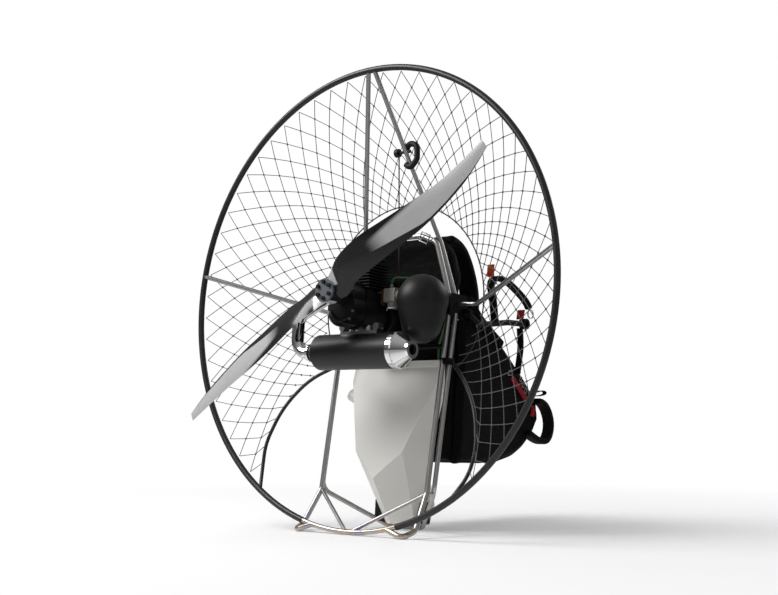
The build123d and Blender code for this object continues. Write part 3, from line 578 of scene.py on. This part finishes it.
# %% Helpers for new pieces


def piece(name, mesh_source, finish, body="machine", smooth=True, stands_for=()):
    """Make an object from a bmesh or a mesh in working millimetres and tie it to a body."""
    if isinstance(mesh_source, bmesh.types.BMesh):
        mesh = bpy.data.meshes.new(name)
        mesh_source.to_mesh(mesh)
        mesh_source.free()
    else:
        mesh = mesh_source
    mesh.transform(STANCE)
    mesh.shade_smooth() if smooth else mesh.shade_flat()
    mesh.materials.clear()
    mesh.materials.append(FINISH[finish])
    made = bpy.data.objects.new(name, mesh)
    scene.collection.objects.link(made)
    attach(made, body)
    if stands_for:
        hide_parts(*stands_for)
    return made


def course_holder(courses, order, steps=6):
    """A curve object with one line per list of points; an order makes the points lead a smooth line."""
    data = bpy.data.curves.new("course", "CURVE")
    data.dimensions = "3D"
    data.resolution_u = steps
    for points in courses:
        line = data.splines.new("NURBS" if order else "POLY")
        line.points.add(len(points) - 1)
        for control, spot in zip(line.points, points):
            control.co = (*spot, 1.0)
        if order:
            line.order_u = order
            line.use_endpoint_u = True
    return bpy.data.objects.new("course", data)


def course_mesh(holder):
    """The mesh of a curve object, which is removed."""
    mesh = bpy.data.meshes.new_from_object(holder)
    data = holder.data
    bpy.data.objects.remove(holder)
    bpy.data.curves.remove(data)
    return mesh


def tubes(courses, radius, sides=1, order=0):
    """A mesh of round tubes along lists of points."""
    holder = course_holder(courses, order)
    holder.data.bevel_depth = radius
    holder.data.bevel_resolution = sides
    holder.data.use_fill_caps = True
    return course_mesh(holder)


def smooth_line(points, steps=6):
    """Points along a smooth line that is led by a few given ones."""
    mesh = course_mesh(course_holder([points], 3, steps))
    spots = [vertex.co.copy() for vertex in mesh.vertices]
    bpy.data.meshes.remove(mesh)
    return spots


def held(mesh_source):
    """A working object in the scene, from a bmesh or a mesh."""
    mesh = mesh_source
    if isinstance(mesh_source, bmesh.types.BMesh):
        mesh = bpy.data.meshes.new("work")
        mesh_source.to_mesh(mesh)
        mesh_source.free()
    holder = bpy.data.objects.new("work", mesh)
    scene.collection.objects.link(holder)
    return holder


def with_modifiers(holder):
    """The mesh of a working object with its modifiers applied."""
    depsgraph = bpy.context.evaluated_depsgraph_get()
    return bpy.data.meshes.new_from_object(holder.evaluated_get(depsgraph))


def ribbon(line, across, width, cells=2, crown=0.0):
    """A flat band along a line of points, with a weave map in metres; a crown lifts its middle."""
    bm = bmesh.new()
    weave = bm.loops.layers.uv.new("weave")
    side = Vector(across).normalized()
    spots = {}
    first = [bm.verts.new(line[0] + side * width * (i / cells - 0.5)) for i in range(cells + 1)]
    for i, vert in enumerate(first):
        spots[vert] = (i / cells * width * MM, 0.0)
    edges = [bm.edges.new(pair) for pair in zip(first, first[1:])]
    run = 0.0
    for before, spot in zip(line, line[1:]):
        made = bmesh.ops.extrude_edge_only(bm, edges=edges)["geom"]
        fresh = [item for item in made if isinstance(item, bmesh.types.BMVert)]
        bmesh.ops.translate(bm, verts=fresh, vec=spot - before)
        run += (spot - before).length
        for vert in fresh:
            share = (vert.co - spot).dot(side) / width + 0.5
            spots[vert] = (share * width * MM, run * MM)
        edges = [e for e in made if isinstance(e, bmesh.types.BMEdge) and set(e.verts) <= set(fresh)]
    for face in bm.faces:
        for loop in face.loops:
            loop[weave].uv = spots[loop.vert]
    bm.normal_update()
    if crown:
        for vert, (u, v) in spots.items():
            lift = 1 - (2 * u / (width * MM) - 1) ** 2
            vert.co += vert.normal * crown * lift
    return bm


def thicken(made, thick, round_edge, subdivide=0):
    """Give a band its thickness and soft edges, in millimetres."""
    wall = made.modifiers.new("thickness", "SOLIDIFY")
    wall.thickness = thick * MM
    wall.offset = 0.0
    edge = made.modifiers.new("soft_edge", "BEVEL")
    edge.width = round_edge * MM
    edge.segments = 2
    edge.limit_method = "ANGLE"
    if subdivide:
        skin = made.modifiers.new("skin", "SUBSURF")
        skin.levels = skin.render_levels = subdivide
    return made


# %% [markdown]
# ## Net
# The net keeps hands and lines out of the propeller. It is knotted: two lays of cord run in from the
# hoop, one turning left and one turning right, and are tied where they cross. Each cord is straight
# between its knots, so a cord is a chain of knot points. Twelve rows of knots lie between the hoop and
# the inner ring, and each row is nearer to the next as the net narrows. The cords stop where they meet
# the two lower loops.

# %% Net
NET_HOOP_Y = 9.0
NET_RING_R = 308.0
NET_RING_Y = 198.0
NET_COLUMNS = 60
NET_TWIST = 36.0
NET_START_ANGLE = -56.0
NET_CORD_R = 1.2
KNOT_R = 3.4
NET_DROP = 0.26           # share of its slope that the net loses at the lower sides
NET_DROP_FROM = 95.0      # degrees from the top where that begins, and over how many it grows
NET_DROP_OVER = 33.0
LOOP_POINTS = (
    (219, 170, -184), (300, 120, -233), (376, 84, -326), (409, 52, -440), (399, 35, -516), (372, 4, -573),
)
net_rows = round(NET_TWIST * NET_COLUMNS / 180)
net_outer = HOOP_R - HOOP_TUBE_R + 1.0
loop_line = smooth_line(LOOP_POINTS, 12)


def net_spot(angle, radius):
    """A point of the net's surface, which falls back toward the loops at the lower sides."""
    below = abs((angle + 90) % 360 - 180)
    drop = min(1.0, max(0.0, (below - NET_DROP_FROM) / NET_DROP_OVER))
    slope = (NET_RING_Y - NET_HOOP_Y) / (HOOP_R - NET_RING_R) * (1 - NET_DROP * drop)
    turn = math.radians(angle)
    return Vector((radius * math.cos(turn), NET_HOOP_Y + slope * (HOOP_R - radius), radius * math.sin(turn)))


def loop_spot(radius):
    """Where the right loop lies at a radius, and its angle."""
    spot = min(loop_line, key=lambda p: abs(math.hypot(p.x, p.z) - radius))
    return spot, math.degrees(math.atan2(spot.z, spot.x))


def net_cord(start, lay):
    """The chain of knots of one cord, from the hoop in to the ring or to a loop."""
    chain = []
    knots = []
    for row in range(net_rows + 1):
        share = row / net_rows
        radius = net_outer * (NET_RING_R / net_outer) ** share
        angle = start + lay * NET_TWIST * share
        spot, edge = loop_spot(radius)
        mirrored = angle > 90
        inside = 180 - angle if mirrored else angle
        if inside < edge + 0.4:
            if row > 0:
                chain.append(Vector((-spot.x, spot.y, spot.z)) if mirrored else spot)
            break
        chain.append(net_spot(angle, radius))
        if row > 0:
            knots.append(chain[-1])
    return chain, knots


def make_net():
    courses = []
    knot_spots = []
    for i in range(NET_COLUMNS):
        start = 360 * (i + 0.5) / NET_COLUMNS - 90
        if not NET_START_ANGLE < start < 180 - NET_START_ANGLE:
            continue
        for lay in (-1, 1):
            chain, knots = net_cord(start, lay)
            if len(chain) > 1:
                courses.append(chain)
            if lay > 0:
                knot_spots += knots
    bm = bmesh.new()
    bm.from_mesh(tubes(courses, NET_CORD_R))
    for spot in knot_spots:
        place = Matrix.Translation(spot) @ Matrix.Diagonal((1, 0.8, 1, 1))
        bmesh.ops.create_uvsphere(bm, u_segments=6, v_segments=4, radius=KNOT_R, matrix=place)
    print("net:", len(courses), "cords,", len(knot_spots), "knots,", len(bm.faces), "faces")
    return piece("net", bm, "net", stands_for=("net_cords_left_lay", "net_cords_right_lay"))


make_net()

# %% [markdown]
# ## Propeller
# A blade hangs on four rails: its two edges and the crowns of its two faces, each a smooth line that the
# stations lead. Rings of two shallow arcs stand on the rails and are bridged to a closed skin. The second
# blade is the first one turned half round, and a Boolean joins both to the boss.

# %% Propeller
PROP_Z = -6.0
BOSS_R = 35.0
BOSS_Y = (-150.0, -118.0)
BLADE_Y = -144.0
ARC_CELLS = 8
REAR_CROWN = 0.3


def blade_rails():
    """Leading edge, trailing edge, rear crown and front crown, as lists of points along the blade."""
    corners = []
    for share, chord, pitch, thick, shift, ahead in BLADE_STATIONS:
        turn = math.radians(pitch)
        along = Vector((0, -math.sin(turn), math.cos(turn)))
        rearward = Vector((0, -math.cos(turn), -math.sin(turn)))
        middle = Vector((share * PROP_R / MM, BLADE_Y + ahead, shift))
        corners.append((
            middle - along * chord / 2,
            middle + along * chord / 2,
            middle + rearward * thick * REAR_CROWN,
            middle - rearward * thick * (1 - REAR_CROWN),
        ))
    return [smooth_line(rail) for rail in zip(*corners)]


def blade_ring(lead, trail, rear, front):
    """The points of one section: over the rear face to the trailing edge and back over the front."""
    middle = lead.lerp(trail, 0.5)
    ring = []
    for crown, shares in ((rear, range(ARC_CELLS)), (front, range(ARC_CELLS, 0, -1))):
        for i in shares:
            t = i / ARC_CELLS
            ring.append(lead.lerp(trail, t) + (crown - middle) * 4 * t * (1 - t))
    return ring


def make_blade(turn):
    bm = bmesh.new()
    rings = []
    for spots in zip(*blade_rails()):
        verts = [bm.verts.new(spot) for spot in blade_ring(*spots)]
        rings.append([bm.edges.new(pair) for pair in zip(verts, verts[1:] + verts[:1])])
    for inner, outer in zip(rings, rings[1:]):
        bmesh.ops.bridge_loops(bm, edges=inner + outer)
    bmesh.ops.holes_fill(bm, edges=rings[0] + rings[-1], sides=0)
    bmesh.ops.recalc_face_normals(bm, faces=bm.faces)
    bmesh.ops.rotate(bm, verts=bm.verts, cent=(0, 0, 0), matrix=Matrix.Rotation(turn, 3, "Y"))
    return bm


def make_boss():
    bm = bmesh.new()
    place = Matrix.Translation((0, sum(BOSS_Y) / 2, 0)) @ Matrix.Rotation(math.pi / 2, 4, "X")
    depth = BOSS_Y[1] - BOSS_Y[0]
    bmesh.ops.create_cone(
        bm, cap_ends=True, segments=64, radius1=BOSS_R, radius2=BOSS_R, depth=depth, matrix=place
    )
    return bm


def joined(sources):
    """One mesh from closed bmeshes, by Boolean unions onto the first."""
    holders = [held(bm) for bm in sources]
    for other in holders[1:]:
        step = holders[0].modifiers.new("union", "BOOLEAN")
        step.operation, step.solver, step.object = "UNION", "EXACT", other
    whole = with_modifiers(holders[0])
    for holder in holders:
        bpy.data.objects.remove(holder)
    return whole


def make_propeller():
    mesh = joined([make_boss(), make_blade(0.0), make_blade(math.pi)])
    mesh.transform(Matrix.Translation((0, 0, PROP_Z)) @ Matrix.Rotation(-PROP_ANGLE, 4, "Y"))
    made = piece("propeller_skin", mesh, "blade", "propeller", stands_for=("propeller",))
    made.data.set_sharp_from_angle(angle=math.radians(35))
    print("propeller:", len(mesh.polygons), "faces")
    return made


make_propeller()

# %% [markdown]
# ## Padded harness
# The harness is foam wrapped in black cloth: a back pad, a seat with side wings, and two shoulder
# straps. Foam under cloth swells between its seams, so each pad starts as a thin slab with rounded
# edges, is blown up by a short cloth run with a little pressure, and is then kept. The swelling is
# capped, so that a pad stays in the room that the frame leaves for it.

# %% Pads
PAD_VOXEL = 6.0
PAD_PRESSURE = 4.0
PAD_FRAMES = 16


def slab(outline, low, high, axis):
    """A closed slab: an outline of (a, b) points, raised from low to high along x or y."""
    bm = bmesh.new()
    order = {"x": lambda a, b: (low, a, b), "y": lambda a, b: (a, low, b)}[axis]
    face = bm.faces.new([bm.verts.new(order(a, b)) for a, b in outline])
    raised = bmesh.ops.extrude_face_region(bm, geom=[face])["geom"]
    push = {"x": (high - low, 0, 0), "y": (0, high - low, 0)}[axis]
    bmesh.ops.translate(bm, verts=[v for v in raised if isinstance(v, bmesh.types.BMVert)], vec=push)
    bmesh.ops.recalc_face_normals(bm, faces=bm.faces)
    return bm


def soften(bm, radius):
    bmesh.ops.bevel(
        bm, geom=bm.edges[:], offset=radius, segments=3, profile=0.5, affect="EDGES", material=-1
    )
    return bm


def remeshed(bm):
    """An even skin of quads over a closed bmesh, in millimetres."""
    holder = held(bm)
    step = holder.modifiers.new("even", "REMESH")
    step.mode = "VOXEL"
    step.voxel_size = PAD_VOXEL
    even = with_modifiers(holder)
    rough = holder.data
    bpy.data.objects.remove(holder)
    bpy.data.meshes.remove(rough)
    return even


def puffed(mesh, cap):
    """Blow a mesh up a little as cloth, with no point moving further than the cap, in millimetres."""
    mesh.transform(Matrix.Scale(MM, 4))
    start = [vertex.co.copy() for vertex in mesh.vertices]
    holder = held(mesh)
    cloth = holder.modifiers.new("cloth", "CLOTH")
    cloth.settings.use_pressure = True
    cloth.settings.uniform_pressure_force = PAD_PRESSURE
    cloth.settings.effector_weights.gravity = 0.0
    cloth.settings.quality = 4
    cloth.point_cache.frame_end = PAD_FRAMES
    for number in range(1, PAD_FRAMES + 1):
        scene.frame_set(number)
    blown = with_modifiers(holder)
    scene.frame_set(1)
    bpy.data.objects.remove(holder)
    for vertex, before in zip(blown.vertices, start):
        move = vertex.co - before
        if move.length > cap * MM:
            vertex.co = before + move.normalized() * cap * MM
    blown.transform(Matrix.Scale(1 / MM, 4))
    return blown


def pad(name, bm, stands_for, cap):
    mesh = puffed(remeshed(bm), cap)
    made = piece(name, mesh, "cloth", stands_for=(stands_for,))
    print(name, len(mesh.polygons), "faces")
    pads[name] = made


pads = {}
BACK_OUTLINE = (
    (-182, -74), (-187, 90), (-168, 160), (-116, 214), (116, 214), (168, 160), (187, 90), (182, -74),
)
WING_OUTLINE = (
    (240, -42), (353, -40), (427, -56), (478, -99), (590, -181), (668, -251),
    (687, -321), (653, -374), (604, -418), (547, -450), (449, -477), (240, -485),
)
FLOOR_OUTLINE = ((246, -404), (604, -404), (598, -411), (544, -438), (448, -462), (246, -469))
LUMBAR_OUTLINE = ((-180, -474), (-180, -48), (180, -48), (180, -474))
pad("back_pad", soften(slab(BACK_OUTLINE, 221, 257, "y"), 12), "back_panel", 9)
for side, low in (("right", 166), ("left", -188)):
    pad("seat_wing_" + side, soften(slab(WING_OUTLINE, low, low + 22, "x"), 9), "seat", 10)
pad("seat_floor", soften(slab(FLOOR_OUTLINE, -164, 164, "x"), 5), "seat", 8)
pad("seat_back", soften(slab(LUMBAR_OUTLINE, 239, 257, "y"), 7), "seat", 6)

# %% [markdown]
# Piping covers the seams: a thin cord sewn in where two panels of cloth meet. A pad's edge draws in a
# little as the pad swells, so each point of a seam is moved to the nearest point of the finished skin.

# %% Piping
PIPING_R = 2.2
SEAM_STEP = 12.0


def seam(name, points):
    """A closed line by the given points, drawn onto the skin of a pad."""
    spots = []
    for before, after in zip(points, points[1:] + points[:1]):
        a, b = Vector(before), Vector(after)
        count = max(1, round((b - a).length / SEAM_STEP))
        for i in range(count):
            _, spot, _, _ = pads[name].closest_point_on_mesh(STANCE @ a.lerp(b, i / count))
            spots.append(STANCE.inverted() @ spot)
    return spots + spots[:1]


bpy.context.view_layer.update()
seams = [
    seam("seat_wing_right", [(186, y, z) for y, z in WING_OUTLINE]),
    seam("seat_wing_left", [(-186, y, z) for y, z in WING_OUTLINE]),
    seam("back_pad", [(x, 223, z) for x, z in BACK_OUTLINE]),
]
piece("piping", tubes(seams, PIPING_R, 2, 3), "web")

# %% [markdown]
# ## Shoulder straps, hang straps and leg straps
# A shoulder strap is a band of foam with webbing sewn along its middle. The hang straps and leg straps
# are webbing alone. A band is one edge that is extruded along a smooth line, with its weave map made on
# the way, and a Solidify modifier gives it its thickness.

# %% Straps
# Each line's points are (y, z) in the upright plane at its x
SHOULDER_X = 108.0
SHOULDER_POINTS = ((252, 204), (308, 200), (363, 136), (402, 40), (392, -60), (330, -136), (266, -150))
HIP_X = 194.0
HIP_POINTS = ((276, 20), (312, -24), (380, -66), (452, -104))
SWING_X = 229.0
HANG_POINTS = ((366, -46), (356, 20), (334, 70), (352, 90), (410, 96), (492, 62), (538, 36), (548, 20))
LEG_X = 203.0
LEG_POINTS = ((640, -262), (680, -260), (726, -326), (704, -390), (644, -388), (590, -364))
TAIL_POINTS = ((500, -46), (512, -98), (500, -160), (496, -190))
HANG_TAB_POINTS = ((338, 92), (333, 108), (337, 130))
ARM_TAB_POINTS = ((500, -18), (502, -4), (506, 12))
FRONT_LOOP_X = 186.0
FRONT_LOOP_POINTS = ((664, -232), (700, -222), (722, -230), (700, -240), (664, -244))


def upright_line(points, x):
    return smooth_line([(x, y, z) for y, z in points])


def webbing(name, points, x, width, thick, finish="web", body="machine", stands_for=()):
    """A flat band of webbing that hangs in an upright plane, its width along X."""
    bm = ribbon(upright_line(points, x), (1, 0, 0), width)
    made = piece(name, bm, finish, body, stands_for=stands_for)
    return thicken(made, thick, 1.2)


def sleeve(name, points, x, width, thick, rounding, body="machine", stands_for=()):
    """A thick soft band in an upright plane."""
    bm = ribbon(upright_line(points, x), (1, 0, 0), width, 4)
    made = piece(name, bm, "web", body, stands_for=stands_for)
    return thicken(made, thick, rounding, 1)


for side, sign in (("right", 1), ("left", -1)):
    line = upright_line(SHOULDER_POINTS, sign * SHOULDER_X)
    band = piece("shoulder_pad_" + side, ribbon(line, (1, 0, 0), 66, 6, 2.0), "cloth",
                 stands_for=("shoulder_straps",))
    thicken(band, 28, 9, 1)
    swing = "swing_arm_" + side
    x = sign * SWING_X
    hang = sleeve("hang_sleeve_" + side, HANG_POINTS, x, 24, 17, 6, swing, ("hang_strap_" + side,))
    hip = sleeve("hip_band_" + side, HIP_POINTS, sign * HIP_X, 24, 26, 8)
    webbing("hang_tail_" + side, TAIL_POINTS, x, 22, 5, body=swing)
    webbing("hang_tab_" + side, HANG_TAB_POINTS, x, 24, 5, "orange", swing)
    webbing("arm_tab_" + side, ARM_TAB_POINTS, x, 26, 5, "red", swing)
    sleeve("leg_webbing_" + side, LEG_POINTS, sign * LEG_X, 38, 18, 5, stands_for=("leg_straps",))
    webbing("front_loop_" + side, FRONT_LOOP_POINTS, sign * FRONT_LOOP_X, 14, 3)

# %% [markdown]
# ## Flat straps and buckles on the seat
# A red strap runs down each side of the seat to the leg loop. It lies flat on the wing, so its band is
# extruded along the wing's face with its width in the wing's plane.

# %% Straps and buckles on the seat
WING_FACE = 199.0


def flat_strap(name, sign, start, end, width, finish):
    """A strap that lies on the seat's wing, from one (y, z) point to another."""
    a, b = Vector((sign * WING_FACE, *start)), Vector((sign * WING_FACE, *end))
    across = (b - a).cross(Vector((1, 0, 0))).normalized()
    line = [a.lerp(b, i / 8) + Vector((sign * 2 * math.sin(math.pi * i / 8), 0, 0)) for i in range(9)]
    made = piece(name, ribbon(line, across, width), finish)
    return thicken(made, 4, 1.2)


def buckle(middle, right, up, size):
    """The closed course of a square buckle in the plane of two directions."""
    right, up, middle = Vector(right).normalized(), Vector(up).normalized(), Vector(middle)
    corners = [(-1, -1), (1, -1), (1, 1), (-1, 1), (-1, -1)]
    return [middle + right * a * size[0] / 2 + up * b * size[1] / 2 for a, b in corners]


CHAIN_START = Vector((556, -200))
CHAIN_STEP = Vector((14, -17))
rings, top_rings = [], []
for side, sign in (("right", 1), ("left", -1)):
    flat_strap("red_strap_" + side, sign, (508, -198), (598, -268), 19, "red")
    flat_strap("red_end_" + side, sign, (634, -278), (628, -312), 20, "red")
    flat_strap("tag_" + side, sign, (404, -84), (424, -104), 14, "blue")
    x = sign * WING_FACE
    rings.append(buckle((x, 500, -186), (0, 1, 0), (0, 0.2, 1), (20, 14)))
    for step in range(3):
        link = (x + sign * 2, *(CHAIN_START + CHAIN_STEP * step))
        rings.append(buckle(link, (0, 1, -0.4), (0, 0.4, 1), (10, 15)))
    tilt = sign * 0.45
    top_rings.append(buckle((sign * 114, 150, 190), (1, 0, -tilt), (tilt, 0, 1), (34, 28)))
piece("buckles", tubes(rings, 1.7, 2), "steel")
piece("top_buckles", tubes(top_rings, 2.6, 2), "steel")

# %% [markdown]
# ## Engine details
# Small things that make a black engine readable: bolts round the drive's cover, cables, the spark plug's
# lead, the choke lever, and the dark bore of the silencer's outlet.

# %% Engine details
CRANK_Z = -50.0
COVER_FACE = -76.0
BOLT_R = 3.6
BOLT_HEIGHT = 5.0
# Rings of bolts on the drive's cover: centre height, radius, first angle, last angle, count
COVER_RINGS = ((CRANK_Z, 45, 190, 350, 6), (PROP_Z, 39, 20, 160, 5))


def bolt(bm, spot):
    """A six-sided bolt's head that stands on a face that looks to the rear."""
    middle = Vector(spot) + Vector((0, -BOLT_HEIGHT / 2, 0))
    place = Matrix.Translation(middle) @ Matrix.Rotation(math.pi / 2, 4, "X")
    bmesh.ops.create_cone(
        bm, cap_ends=True, segments=6, radius1=BOLT_R, radius2=BOLT_R * 0.92, depth=BOLT_HEIGHT, matrix=place
    )


def make_cover_bolts():
    bm = bmesh.new()
    for centre_z, radius, first, last, count in COVER_RINGS:
        for i in range(count):
            turn = math.radians(first + (last - first) * i / (count - 1))
            bolt(bm, (radius * math.cos(turn), COVER_FACE, centre_z + radius * math.sin(turn)))
    return piece("cover_bolts", bm, "plate", smooth=False)


make_cover_bolts()
CABLES = (
    ((-64, -40, -30), (-60, -70, -60), (-20, -88, -96), (26, -84, -84), (48, -52, -60)),
    ((-58, -30, -12), (-66, -60, -52), (-34, -86, -84), (8, -90, -106), (30, -60, -98)),
    ((-70, 10, 10), (-72, -40, -30), (-40, -84, -58), (-6, -92, -92), (50, -70, -100)),
    ((0, 24, 158), (-4, 10, 176), (-30, -14, 160), (-62, -20, 100), (-66, -16, 30)),
)
piece("cables", tubes(CABLES, 3.4, 2, 3), "rubber")
LEVER = (((84, 28, -46), (84, 28, -38), (110, 28, -38), (110, 40, -34)),)
piece("choke_lever", tubes(LEVER, 1.8, 2), "alloy")

SILENCER_AXIS = Vector((0, -13, -168))
SILENCER_CAP_X = 221.0
OUTLET_R = 15.4
OUTLET_LENGTH = 34.0
OUTLET_INSET = 22.0       # liner's middle inside the cap's end


def make_outlet():
    bm = bmesh.new()
    middle = SILENCER_AXIS + Vector((SILENCER_CAP_X - OUTLET_INSET, 0, 0))
    place = Matrix.Translation(middle) @ Matrix.Rotation(math.pi / 2, 4, "Y")
    bmesh.ops.create_cone(
        bm, cap_ends=False, segments=32, radius1=OUTLET_R, radius2=OUTLET_R, depth=OUTLET_LENGTH,
        matrix=place,
    )
    return piece("outlet_liner", bm, "bolt")


thicken(make_outlet(), 1.0, 0.2)

# %% [markdown]
# ## Tank
# The tank's facets should read as crisp planes with a small moulded round between them. A copy of the
# rigid mesh is merged to its plain faces, and its edges are bevelled.

# %% Tank
# In metres and radians, because the rigid mesh is
TANK_ROUND = 0.004
FLAT_ANGLE = 0.03
FACET_ANGLE = 0.2
FACET_EDGE = 0.03
ROUND_FACE_AREA = 0.0015


def make_tank():
    bm = bmesh.new()
    bm.from_mesh(frame["nodes"]["fuel_tank"].data)
    bmesh.ops.remove_doubles(bm, verts=bm.verts, dist=0.0001)
    bmesh.ops.dissolve_limit(bm, angle_limit=FLAT_ANGLE, verts=bm.verts, edges=bm.edges)
    sharp = [e for e in bm.edges if len(e.link_faces) == 2 and e.calc_face_angle() > FACET_ANGLE]
    bmesh.ops.bevel(
        bm, geom=[e for e in sharp if e.calc_length() > FACET_EDGE], offset=TANK_ROUND, segments=3,
        profile=0.5, affect="EDGES", material=-1, clamp_overlap=True,
    )
    for face in bm.faces:
        face.smooth = face.calc_area() < ROUND_FACE_AREA
    mesh = bpy.data.meshes.new("tank_shell")
    bm.to_mesh(mesh)
    bm.free()
    mesh.materials.clear()
    mesh.materials.append(FINISH["tank"])
    shell = bpy.data.objects.new("tank_shell", mesh)
    scene.collection.objects.link(shell)
    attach(shell, "machine")
    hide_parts("fuel_tank")
    return shell


make_tank()
